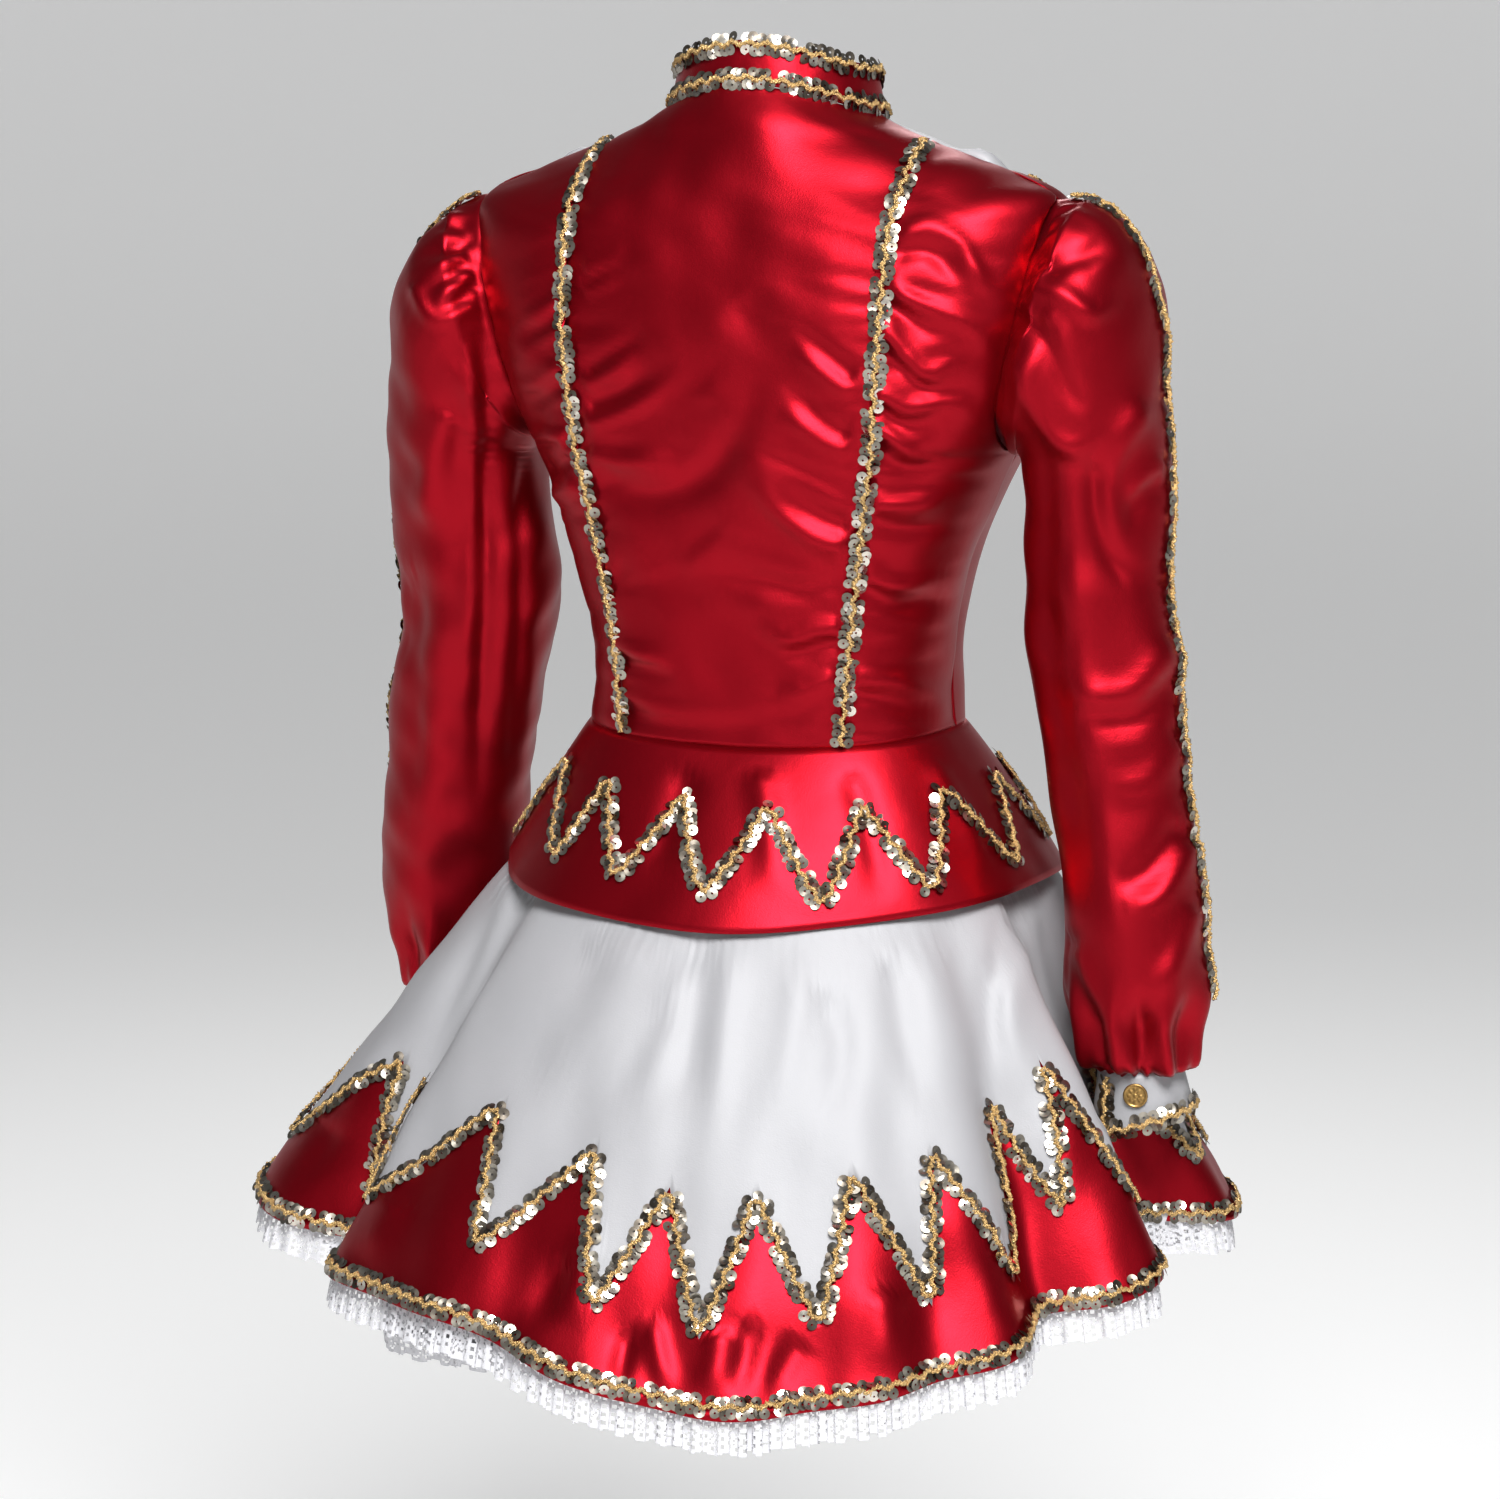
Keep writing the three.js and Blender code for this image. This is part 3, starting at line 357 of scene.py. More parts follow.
for yarn, scale, strength, depth in ((GIMP, TWIST, 1.0, 0.0014), (LACE, LACE_THREAD, 0.5, 0.0006)):
    place = add_node(yarn, "ShaderNodeTexCoord").outputs["Object"]
    threads = add_node(yarn, "ShaderNodeTexNoise", {"Vector": place, "Scale": scale, "Detail": 2.0})
    grain = add_node(yarn, "ShaderNodeBump", {
        "Height": threads.outputs["Fac"], "Strength": strength, "Distance": depth})
    surface = yarn.node_tree.nodes["Principled BSDF"]
    yarn.node_tree.links.new(grain.outputs["Normal"], surface.inputs["Normal"])

SATINS = {"red_satin": RED, "white_satin": WHITE}


def cloth(name, grid, closed, thickness, slot):
    """A piece of satin on a grid, made a shell of the given thickness; it hangs from the root and stands in for
    the solid of its name, which is hidden.
    """
    points, faces = shell(grid, thickness, closed)
    piece = make(name + "_cloth", points, faces, [SATINS[slot]])
    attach(piece, "root")
    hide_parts(name)


# Jacket
JACKET_CLOTH = 0.9   # thickness of each piece's satin, with what stiffens it
SLEEVE_CLOTH = 0.8
COLLAR_CLOTH = 1.1
CUFF_CLOTH = 1.2
PEPLUM_CLOTH = 0.9
SKIRT_CLOTH = 0.8
UNDERSKIRT_CLOTH = 0.7
PANEL_ROWS = 110


def torso(angle, level, side=1):
    """A point of the jacket, by its angle from the back and its ring."""
    angle, level = np.broadcast_arrays(np.asarray(angle, float), np.asarray(level, float))
    row = along(TORSO, level)
    half, mid, back, front, z_side, z_back, z_front, square = np.moveaxis(row, -1, 0)
    s = np.sin(np.radians(angle))
    c = np.cos(np.radians(angle))
    behind = c >= 0
    power = np.where(behind, square, FRONT_SQUARE)
    fullness = np.clip(1 - np.abs(s) ** power, 0, None) ** (1 / power)
    y = mid + fullness * (np.where(behind, back, front) - mid)
    z = z_side + (np.where(behind, z_back, z_front) - z_side) * c * c
    return np.stack([side * half * s, y, z], -1)


def seam_turn(seam, level, behind):
    """Angle of a seam on a ring; past its ends it lies on the shoulder or under the arm."""
    start, table = seam
    end = start + len(table) - 1
    if level <= start or (end < LAST and level >= end):
        return 90.0
    x = along(np.array(table, float), level - start)
    half = along(TORSO, level)[0]
    angle = float(np.degrees(np.arcsin(np.clip(x / half, 0, 1))))
    return angle if behind else 180 - angle


def princess(level):
    return seam_turn(PRINCESS, level, True)


def plastron(level):
    return seam_turn(PLASTRON, level, False)


def panel(start, end, first, columns, side):
    """Grid between two seams, even across, from its first ring to the waist."""
    grid = []
    for level in np.linspace(first, LAST, PANEL_ROWS):
        angles = np.linspace(start(level), end(level), 260)
        line = torso(angles, level, side)
        run = np.r_[0, np.cumsum(np.linalg.norm(np.diff(line, axis=0), axis=1))]
        even = np.full(columns + 1, 90.0)
        if run[-1] > 0:
            even = np.interp(np.linspace(0, run[-1], columns + 1), run, angles)
        grid.append(torso(even, level, side))
    return np.array(grid)


def seam_puckers(grid, side, inward, seed):
    """Short drag lines where the braid's stitching draws the cloth in."""
    local = np.random.default_rng(seed)
    points = grid.reshape(-1, 3)
    levels = np.linspace(PRINCESS[0], LAST, 120)
    seam = torso(np.array([princess(v) for v in levels]), levels, side)
    order = np.argsort(seam[:, 2])
    x_seam = np.interp(points[:, 2], seam[order, 2], seam[order, 0])
    out = side * (points[:, 0] - x_seam) * (-1 if inward else 1)
    height = np.zeros(len(points))
    z = -35.0
    while z > -372:
        strong = 1.6 if -300 < z < -70 else 1.1   # the blades pull more than the waist
        depth = local.uniform(0.6, 1.5) * strong
        wide = local.uniform(2.6, 4.6)
        reach = local.uniform(9, 42)
        lean = local.uniform(-0.55, 0.1) if inward else local.uniform(-0.35, 0.5)
        run = (points[:, 2] - z + lean * out) / wide
        height -= depth * np.exp(-run ** 2) * np.exp(-np.clip(out, 0, None) / reach) * (out > -1)
        z -= local.uniform(5, 9.5)
    return height.reshape(grid.shape[:2]) * smooth_step((grid[..., 1] - 10) / 30)


# Folds read from the photograph: slope, half width and line, in its pixels
BACK_FOLDS = [
    (1.0, 7, [(581, 270), (605, 262), (628, 248)]), (0.9, 6, [(580, 292), (600, 284), (622, 270)]),
    (-0.9, 7, [(580, 281), (602, 273), (624, 260)]), (0.9, 8, [(582, 385), (612, 370), (640, 350)]),
    (-1.0, 8, [(582, 372), (615, 352), (650, 330)]),
    (1.1, 9, [(583, 425), (620, 412), (655, 392), (690, 360)]),
    (-1.2, 10, [(585, 408), (620, 392), (655, 368)]), (1.0, 10, [(588, 450), (630, 462), (680, 455)]),
    (-1.2, 16, [(590, 470), (640, 497), (700, 480), (740, 430), (760, 370)]),
    (-0.6, 24, [(735, 300), (775, 350), (805, 400), (835, 450)]),
    (0.6, 20, [(700, 380), (735, 430), (770, 490), (800, 530)]),
    (1.0, 8, [(853, 395), (820, 372), (790, 345)]), (-1.1, 8, [(855, 380), (825, 352), (790, 325)]),
    (1.1, 9, [(850, 452), (815, 436), (780, 405)]), (-1.2, 10, [(851, 436), (815, 415), (785, 380)]),
    (1.3, 10, [(848, 546), (815, 538), (780, 512), (745, 480)]),
    (-1.2, 12, [(850, 528), (812, 512), (775, 485)]),
    (-1.0, 14, [(846, 580), (800, 590), (740, 580), (690, 560)]),
    (1.3, 10, [(842, 628), (815, 632), (785, 640), (755, 628)]),
    (-1.1, 9, [(842, 644), (812, 650), (780, 655)]),
    (1.2, 8, [(612, 640), (640, 652), (680, 662)]), (-1.0, 8, [(612, 655), (642, 668), (680, 676)]),
    (0.9, 8, [(618, 690), (650, 706), (700, 714)]),
    (-0.9, 12, [(620, 708), (690, 728), (780, 722), (835, 700)]),
    (1.0, 9, [(836, 676), (805, 690), (775, 690)]), (0.5, 26, [(700, 540), (745, 590), (790, 660)]),
    (-0.5, 18, [(610, 570), (660, 590), (720, 600)]),
]
RIGHT_SIDE_FOLDS = [
    (1.3, 9, [(893, 238), (930, 228), (960, 245), (985, 285), (1018, 292)]),
    (-1.2, 9, [(890, 255), (925, 250), (950, 270), (975, 308)]),
    (1.3, 9, [(885, 278), (920, 305), (962, 320), (1000, 352)]),
    (-1.3, 8, [(883, 295), (915, 325), (955, 342)]),
    (1.4, 9, [(878, 315), (903, 352), (932, 374), (975, 345)]),
    (-1.3, 9, [(876, 340), (905, 375), (940, 395), (990, 385)]),
    (1.3, 9, [(872, 390), (905, 410), (945, 402), (985, 420)]),
    (-1.2, 9, [(872, 405), (905, 428), (945, 428)]),
    (1.2, 8, [(872, 418), (900, 445), (930, 465)]), (-1.2, 10, [(870, 440), (905, 470), (980, 462)]),
    (1.1, 9, [(870, 500), (915, 505), (955, 495)]), (-1.0, 9, [(868, 520), (910, 530), (955, 520)]),
    (1.1, 10, [(862, 570), (905, 585), (960, 565)]), (-1.0, 10, [(860, 590), (905, 606), (955, 596)]),
    (1.1, 9, [(852, 675), (895, 680), (945, 700)]), (-1.0, 9, [(850, 695), (895, 704), (940, 722)]),
]
LEFT_SIDE_FOLDS = [
    (1.2, 8, [(565, 292), (545, 310), (512, 322)]), (-1.1, 8, [(563, 310), (542, 328), (508, 338)]),
    (1.2, 8, [(564, 322), (530, 345), (500, 332)]), (1.1, 8, [(568, 362), (540, 380), (512, 390)]),
    (-1.1, 9, [(568, 380), (540, 398), (514, 408)]), (1.5, 8, [(568, 440), (545, 435), (520, 442)]),
    (-1.3, 9, [(570, 458), (548, 470), (525, 462)]), (1.0, 8, [(574, 480), (560, 492), (545, 490)]),
]


def jacket(name, start, end, first, columns, side, slot, folds=(), pucker=(), puff=0.0):
    """A panel between two seams; a puffed one is full and bulges over the shoulder seam."""
    grid = panel(start, end, first, columns, side)
    normals = grid_normals(grid, False)
    outward = 1 if name.startswith("back") else -1
    if normals[..., 1].mean() * outward < 0:
        normals = -normals
    height = relief(grid, normals, folds) + unevenness(grid, 95, 1.3, len(name) + 40)
    for pucker_side, inward, seed in pucker:
        height += seam_puckers(grid, pucker_side, inward, seed)
    if puff:
        t = np.linspace(0, 1, columns + 1)[None]
        level = np.linspace(first, LAST, PANEL_ROWS)[:, None]
        height += puff * np.sin(np.pi * t) * smooth_step((level - 3.5) / 2)
        bulge = np.exp(-((level - 2.68) / 0.22) ** 2) * np.exp(-((t - 0.03) / 0.12) ** 2)
        height += 6 * bulge * smooth_step(t / 0.028)
        height -= (1.4 + 2.2 * smooth_step(2.4 - level)) * np.exp(-(t / 0.1) ** 2)
    rows = np.linspace(0, 1, PANEL_ROWS)[:, None]
    height *= smooth_step(rows / 0.02) * smooth_step((1 - rows) / 0.02)
    grid[-1, :, 2] -= 1.2   # tucked under the peplum's seam
    cloth(name, grid + normals * height[..., None], False, JACKET_CLOTH, slot)


def back_armhole(level):
    return seam_turn(ARMHOLE_BACK, level, True)


def front_armhole(level):
    return seam_turn(ARMHOLE_FRONT, level, False)


jacket("back_centre", lambda v: -princess(v), princess, 0, 72, 1, "red_satin",
       folds=BACK_FOLDS, pucker=[(1, True, 3), (-1, True, 4)])
for word, side, folds in (("left", 1, LEFT_SIDE_FOLDS), ("right", -1, RIGHT_SIDE_FOLDS)):
    jacket(f"back_side_{word}", princess, back_armhole, PRINCESS[0], 44, side, "red_satin",
           folds=folds, pucker=[(side, False, 5 + side)])
    jacket(f"front_side_{word}", front_armhole, plastron, PLASTRON[0], 34, side, "red_satin")
    jacket(f"plastron_{word}", plastron, lambda v: 180.0, 0, 48, side, "white_satin",
           puff=4.0)


# Braid: two twisted gimp threads that waver, with cupped sequins in rows at both sides
BRAID_STEP = 1.75        # along the braid, between rings of points
BRAID_LIFT = 1.0         # over the seam
STRAND_SIDES = 6
STRAND_RADIUS = 1.05
STRAND_PITCH = 5.2       # one turn of the two strands round each other
KNOT_PITCH = 2.3         # beads along a strand, where its yarn is wrapped
SWAY = 1.2               # the strands waver this far
SWAY_PITCH = 10.5
SEQUIN_GAP = 4.6
SEQUIN_CORNERS = 12
SEQUIN_HOLE = 0.2        # as a share of the sequin


def braid_frame(points, normals):
    """Even places along a path: their run, points, normals, directions and sideways directions."""
    run = np.r_[0, np.cumsum(np.linalg.norm(np.diff(points, axis=0), axis=1))]
    places = np.linspace(0, run[-1], max(3, int(run[-1] / BRAID_STEP)))
    p = np.stack([np.interp(places, run, points[:, k]) for k in range(3)], -1)
    n = unit(np.stack([np.interp(places, run, normals[:, k]) for k in range(3)], -1))
    t = unit(np.gradient(p, axis=0))
    b = unit(np.cross(t, n))
    return places, p, np.cross(b, t), t, b


def braid_parts(points, normals, local):
    """Points, faces and the material number of each face of one run of braid."""
    places, p, n, t, b = braid_frame(points, normals)
    verts, faces, which = [], [], []
    start = 0
    sway = SWAY * np.sin(2 * np.pi * places / SWAY_PITCH + local.uniform(0, 6.3))
    ring = 2 * np.pi * np.arange(STRAND_SIDES) / STRAND_SIDES
    round_strand = b[:, None] * np.cos(ring)[None, :, None] + n[:, None] * np.sin(ring)[None, :, None]
    for strand in (0, np.pi):
        turn = 2 * np.pi * places / STRAND_PITCH + strand
        centre = p + n * (BRAID_LIFT + 1.7 + 0.85 * np.sin(turn))[:, None]
        centre = centre + b * (sway + 1.3 * np.cos(turn))[:, None]
        radius = STRAND_RADIUS * (1 + 0.36 * np.sin(2 * np.pi * places / KNOT_PITCH + strand))
        tube = centre[:, None] + round_strand * radius[:, None, None]
        verts.append(tube.reshape(-1, 3))
        quads = grid_faces(len(places), STRAND_SIDES, True, start)
        faces.extend(quads.tolist())
        which.extend([0] * len(quads))
        start += len(places) * STRAND_SIDES
    spin = 2 * np.pi * np.arange(SEQUIN_CORNERS) / SEQUIN_CORNERS
    for side in (-1, 1):
        s = local.uniform(1, 4)
        count = 0
        while s < places[-1] - 1:
            k = min(int(np.searchsorted(places, s)), len(places) - 1)
            if count % 8 != 7:   # every eighth sequin is lost
                radius = local.uniform(3.1, 3.6)
                lean = local.normal(0, 0.2) - side * 0.28
                pitch = local.normal(0.2, 0.22)
                up = unit(n[k] + b[k] * -lean + t[k] * pitch)
                x_way = unit(np.cross(up, t[k]))
                y_way = np.cross(up, x_way)
                middle = p[k] + b[k] * (side * local.uniform(3.0, 4.3) + 0.4 * sway[k])
                middle = middle + n[k] * (BRAID_LIFT + local.uniform(0.5, 1.3))
                cup = 0.35 if local.random() < 0.6 else -0.3
                circle = radius * (x_way[None] * np.cos(spin)[:, None] + y_way[None] * np.sin(spin)[:, None])
                verts.append(np.concatenate([middle + circle * SEQUIN_HOLE - up * cup, middle + circle]))
                quads = grid_faces(2, SEQUIN_CORNERS, True, start)
                faces.extend(quads.tolist())
                # each sequin takes one of three copies of its silver: plain, with painted shade, with a painted
                # glint
                painted_light_tone = int(local.choice([1, 2, 3], p=[0.48, 0.38, 0.14]))
                which.extend([painted_light_tone] * len(quads))
                start += 2 * SEQUIN_CORNERS
            s += SEQUIN_GAP * local.uniform(0.8, 1.2)
            count += 1
    return np.concatenate(verts), faces, which


def braid_piece(node, paths, seed):
    """One node's braid: a run for each path of points and normals."""
    local = np.random.default_rng(seed)
    all_verts, all_faces, all_which = [], [], []
    start = 0
    for points, normals in paths:
        verts, faces, which = braid_parts(points, normals, local)
        all_verts.append(verts)
        all_faces.extend([[v + start for v in f] for f in faces])
        all_which.extend(which)
        start += len(verts)
    piece = make(node + "_gimp", np.concatenate(all_verts), all_faces, [GIMP, SILVER, SEQUIN_PAINTED_SHADE, SEQUIN_PAINTED_GLINT], all_which)
    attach(piece, "root")
    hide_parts(node)


def surface_path(f, u, v, outward):
    """Points of a surface along a path, with unit normals that face outward."""
    p = f(u, v)
    du = f(u + 0.05, v) - f(u - 0.05, v)
    dv = f(u, v + 0.004) - f(u, v - 0.004)
    n = unit(np.cross(du, dv))
    sign = np.sign((n * outward(p)).sum(-1, keepdims=True))
    return p, n * np.where(sign == 0, 1, sign)


def on_cloth(path, flat_grid, folded_grid):
    """The path, moved by what the folds move the cloth under it."""
    flat_points = flat_grid.reshape(-1, 3)
    moves = (folded_grid - flat_grid).reshape(-1, 3)
    tree = KDTree(len(flat_points))
    for k, point in enumerate(flat_points):
        tree.insert(point, k)
    tree.balance()
    points, normals = path
    moved = []
    for point in points:
        near = tree.find_n(point, 4)
        share = np.array([1 / (gap + 0.4) for _, _, gap in near])
        moved.append(point + share @ moves[[k for _, k, _ in near]] / share.sum())
    return np.array(moved), normals


def from_axis(p):
    """Outward and a little up, seen from the middle of the body."""
    return p * np.array([1, 1, 0]) + np.array([0, -5, 30])


PLASTRON_BRAID_SHIFT = -3.2   # degrees from the seam, on the red side
for word, side in (("left", 1), ("right", -1)):
    levels = np.linspace(2.06, LAST - 0.02, 160)
    turns = np.array([princess(v) for v in levels])
    turns[0] = turns[1]
    path = surface_path(lambda u, v, side=side: torso(u, v, side), turns, levels, from_axis)
    braid_piece(f"braid_princess_{word}", [path], 20 + side)
    levels = np.linspace(3.25, LAST - 0.02, 150)
    turns = np.array([plastron(v) for v in levels]) + PLASTRON_BRAID_SHIFT
    path = surface_path(lambda u, v, side=side: torso(u, v, side), turns, levels, from_axis)
    braid_piece(f"braid_plastron_{word}", [path], 30 + side)


# Stand collar
COLLAR_HEIGHT = 26
COLLAR_LEAN = 0.08    # its upper edge is this much smaller


def collar_at(angle, share):
    neck = TORSO[0]
    c = np.cos(np.radians(angle))
    s = np.sin(np.radians(angle))
    lean = 1 - COLLAR_LEAN * share
    z_middle = np.where(c > 0, neck[5], neck[6])
    rise = COLLAR_HEIGHT * (1 + 0.1 * (1 - c))
    reach = np.where(c > 0, neck[2] - neck[1], neck[1] - neck[3])
    return np.stack([-neck[0] * s * lean, neck[1] + reach * c * lean,
                     neck[4] + (z_middle - neck[4]) * c * c + rise * share + 0.6], -1)


turns = np.linspace(-177, 177, 140)
shares = np.linspace(0, 1, 14)
grid = collar_at(turns[None], shares[:, None])
normals = grid_normals(grid, False)
height = unevenness(grid, 35, 0.35, 2)
cloth("collar", grid + normals * height[..., None], False, COLLAR_CLOTH, "red_satin")
for node, share, seed in (("braid_collar_top", 0.9, 41), ("braid_collar_seam", 0.13, 42)):
    braid_piece(node, [surface_path(collar_at, turns, np.full(len(turns), share), from_axis)], seed)


# Sleeves
def armhole(side):
    back = [torso(seam_turn(ARMHOLE_BACK, v, True), v, side) for v in range(4, 10)]
    front = [torso(seam_turn(ARMHOLE_FRONT, v, False), v, side) for v in range(8, 4, -1)]
    return np.array(back + front)


def sleeve_at(arm, side):
    """The sleeve as a surface: row 0 is the armhole, row 1 the first ring of the arm."""
    loop = armhole(side)
    closed = np.concatenate([loop[-1:], loop, loop[:2]])

    def at(angle, row):
        angle, row = np.broadcast_arrays(np.asarray(angle, float), np.asarray(row, float))
        ring = along(arm, np.clip(row - 1, 0, None))
        x, y, z, out, deep, tilt = np.moveaxis(ring, -1, 0)
        c = np.cos(np.radians(angle))
        s = np.sin(np.radians(angle))
        p = np.stack([side * (x + out * c), y + deep * s, z + tilt * c], -1)
        allowance = 0.5 - 4 * np.clip(1 - row / 0.12, 0, 1)   # the seam allowance turns inwards
        hole = along(closed, 1 + (angle % 360) / 36) + np.array([side, 0, 0]) * allowance[..., None]
        t = np.clip(row, 0, 1)[..., None]
        return hole * (1 - t) + p * t
    return at


# Long folds of both sleeves: degrees round the arm, width, depth, first and last ring
SLEEVE_FOLDS = [(62, 24, -4, 2, 11), (118, 22, -6, 1, 12), (200, 26, -3, 5, 12), (250, 24, -5, 1, 11),
                (312, 24, -4, 2, 12)]
RIGHT_SLEEVE_FOLDS = [
    (1.5, 11, [(1026, 285), (1062, 296), (1095, 314), (1124, 296)]),
    (-1.3, 12, [(1040, 268), (1062, 262), (1095, 252), (1110, 262)]),
    (1.3, 8, [(1014, 292), (1030, 310), (1060, 322)]),
    (-1.6, 13, [(1026, 305), (1045, 345), (1070, 392), (1090, 412)]),
    (1.5, 12, [(1016, 345), (1030, 398), (1056, 440), (1082, 446), (1108, 420)]),
    (1.3, 13, [(1148, 402), (1122, 440), (1110, 495), (1122, 545), (1155, 540)]),
    (-1.4, 13, [(1098, 460), (1100, 520), (1128, 572), (1160, 575)]),
    (-1.0, 9, [(1160, 480), (1140, 505), (1138, 530)]), (1.0, 8, [(1162, 462), (1142, 478), (1130, 500)]),
    (1.4, 13, [(1172, 640), (1134, 690), (1090, 696), (1058, 682)]),
    (-1.3, 13, [(1178, 672), (1146, 716), (1108, 722), (1070, 714)]),
    (1.1, 14, [(1184, 742), (1146, 782), (1092, 784)]), (-1.2, 14, [(1186, 822), (1148, 872), (1108, 884)]),
    (1.2, 12, [(1190, 840), (1160, 894), (1120, 910)]), (1.1, 12, [(1196, 905), (1176, 960), (1150, 1000)]),
    (-1.0, 12, [(1062, 930), (1076, 990), (1100, 1040)]),
    (1.1, 10, [(1074, 944), (1092, 1000), (1112, 1050)]),
    (1.4, 7, [(1170, 1060), (1160, 1030), (1166, 1000)]),
    (-1.4, 6, [(1148, 1066), (1146, 1040), (1152, 1012)]),
    (1.4, 7, [(1126, 1070), (1124, 1045), (1110, 1018)]),
    (-1.3, 6, [(1108, 1064), (1100, 1040), (1090, 1010)]),
]
LEFT_SLEEVE_FOLDS = [
    (1.4, 7, [(484, 241), (455, 260), (415, 276)]), (-1.3, 6, [(484, 250), (458, 272), (425, 290)]),
    (1.4, 7, [(484, 258), (458, 284), (428, 312)]), (-1.3, 7, [(486, 270), (464, 296), (440, 316)]),
    (1.2, 7, [(486, 226), (452, 236), (420, 232)]), (-1.2, 6, [(486, 234), (455, 248), (418, 256)]),
    (1.3, 7, [(412, 282), (432, 318), (458, 314), (482, 284)]),
    (1.2, 8, [(486, 212), (456, 214), (430, 216)]),
    (1.2, 14, [(448, 410), (432, 470), (420, 530)]),
    (-1.1, 10, [(482, 310), (488, 480), (482, 700), (478, 850)]),
    (1.0, 12, [(470, 330), (474, 480), (468, 640), (462, 780)]),
    (-1.2, 8, [(524, 440), (522, 570), (516, 700), (512, 800)]),
    (-0.8, 14, [(402, 560), (410, 700), (412, 860)]),
]


HEAD_GATHERS = 31
CUFF_TUCKS = 19
HEAD_ROWS = 8
SLEEVE_ROWS = 125
SLEEVE_TURNS = np.arange(150) * 2.4


def gathers(turns, count, waver, waver_count, shift=0.0):
    """Waves round a sleeve, unevenly apart."""
    angle = np.radians(turns)
    return np.sin(angle * count + waver * np.sin(angle * waver_count + shift))[None]


def sleeve(word, arm, side, folds):
    at = sleeve_at(arm, side)
    turns = SLEEVE_TURNS
    rows = np.r_[np.linspace(0, 1, HEAD_ROWS)[:-1], np.linspace(1, len(arm), SLEEVE_ROWS)]
    grid = at(turns[None], rows[:, None])
    normals = grid_normals(grid, True)
    if (normals * (grid - grid.mean(axis=1, keepdims=True))).sum() < 0:
        normals = -normals
    height = np.zeros(grid.shape[:2])
    for centre, width, depth, first, last in SLEEVE_FOLDS:
        share = np.clip((rows - 1 - first) / (last - first), 0, 1)
        across = np.exp(-(turned(centre, turns) / width) ** 2)
        height += (depth * np.sin(np.pi * share))[:, None] * across[None]
    from_head = np.linalg.norm(grid - grid[0][None], axis=-1)
    top = smooth_step(np.cos(np.radians(turns)) * 1.2 + 0.5)[None]
    head = gathers(turns, HEAD_GATHERS, 1.5, 5)
    height += 1.9 * head * top * np.exp(-from_head / 15) * smooth_step(from_head / 3)
    from_cuff = arm[-1, 2] - grid[..., 2]
    tucks = gathers(turns, CUFF_TUCKS, 1.2, 4, 1)
    pouch = np.sin(np.radians(turns) * 8 + 1.0)[None]
    height += 2.4 * tucks * np.exp(-np.abs(from_cuff) / 17)
    height += 4.0 * pouch * np.exp(-((from_cuff + 30) / 20) ** 2)
    height += relief(grid, normals, folds) + unevenness(grid, 85, 1.7, 7 + side)
    height *= smooth_step(rows / 0.5)[:, None]
    folded = grid + normals * height[..., None]
    # Where it meets the cuff the sleeve blouses and hangs over
    sag = np.exp(-((from_cuff + 13) / 9) ** 2)
    folded += normals * (3.5 * sag * smooth_step(-from_cuff / 6))[..., None]
    folded[..., 2] -= 9 * sag * (0.7 + 0.3 * np.sin(np.radians(turns) * 3))[None]
    cloth(f"sleeve_{word}", folded, True, SLEEVE_CLOTH, "red_satin")

    path_rows = np.linspace(0.35, 13.4, 200)
    swing = 3.0 * np.sin(path_rows * 0.9)

    def outward(p):
        return p - at(np.full(len(p), 180.0), path_rows)
    path = on_cloth(surface_path(at, swing, path_rows, outward), grid, folded)
    braid_piece(f"braid_sleeve_{word}", [path], 50 + side)


sleeve("left", LEFT_ARM, 1, LEFT_SLEEVE_FOLDS)
sleeve("right", RIGHT_ARM, -1, RIGHT_SLEEVE_FOLDS)


# Cuffs and buttons
CUFF_DEPTH = 35
CUFF_FLARE = 5
BUTTON_TURN = 78.75      # degrees round the cuff, and share down it
BUTTON_SHARE = 0.36
# Button from its back to its middle: radius and height
BUTTON_PROFILE = [
    (0.01, 0.2), (3.5, 0.2), (6.6, 1.2), (7.3, 1.7), (7.4, 2.3), (7.1, 2.9), (6.6, 3.1), (6.1, 2.9),
    (5.7, 2.5), (5.0, 2.6), (4.2, 2.8), (3.4, 2.95), (2.6, 3.0), (1.9, 2.8), (1.5, 2.7), (1.1, 3.0),
    (0.5, 3.15), (0.01, 3.2)]
PETALS = 8
ROPE_TURNS = 32


def cuff_at(wrist, side):
    x, y, z, out, deep, tilt = wrist

    def at(angle, share, lift=0.0):
        c = np.cos(np.radians(angle))
        s = np.sin(np.radians(angle))
        wide = out + CUFF_FLARE * share + lift
        far = deep + CUFF_FLARE * share + lift
        return np.stack([side * (x + 1.5 * share + wide * c), y - 1.2 * share + far * s,
                         z - 0.3 - CUFF_DEPTH * share + (tilt + 8.4 * share) * c], -1)
    return at


def button(word, at):
    """A domed button with a roped rim and a plain rosette."""
    turn, share = np.array(BUTTON_TURN), np.array(BUTTON_SHARE)
    centre = at(turn, share)
    out = unit(at(turn, share, 10.0) - centre)
    x_way = unit(np.cross(out, [0, 0, 1.0]))
    y_way = np.cross(out, x_way)
    spin = 2 * np.pi * np.arange(64) / 64
    circle = x_way * np.cos(spin)[:, None] + y_way * np.sin(spin)[:, None]
    rows = []
    for reach, rise in BUTTON_PROFILE:
        height = np.full(64, rise)
        if rise > 2.4:
            height += 0.28 * np.cos(PETALS * spin) * np.exp(-((reach - 3.7) / 1.0) ** 2)
            height += 0.12 * np.cos(ROPE_TURNS * spin) * np.exp(-((reach - 6.6) / 0.5) ** 2)
        rows.append(centre + circle * reach + out * height[:, None])
    piece = make(f"cuff_button_{word}_metal", np.concatenate(rows), grid_faces(len(rows), 64, True), [BUTTON])
    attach(piece, "root")
    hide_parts(f"cuff_button_{word}")


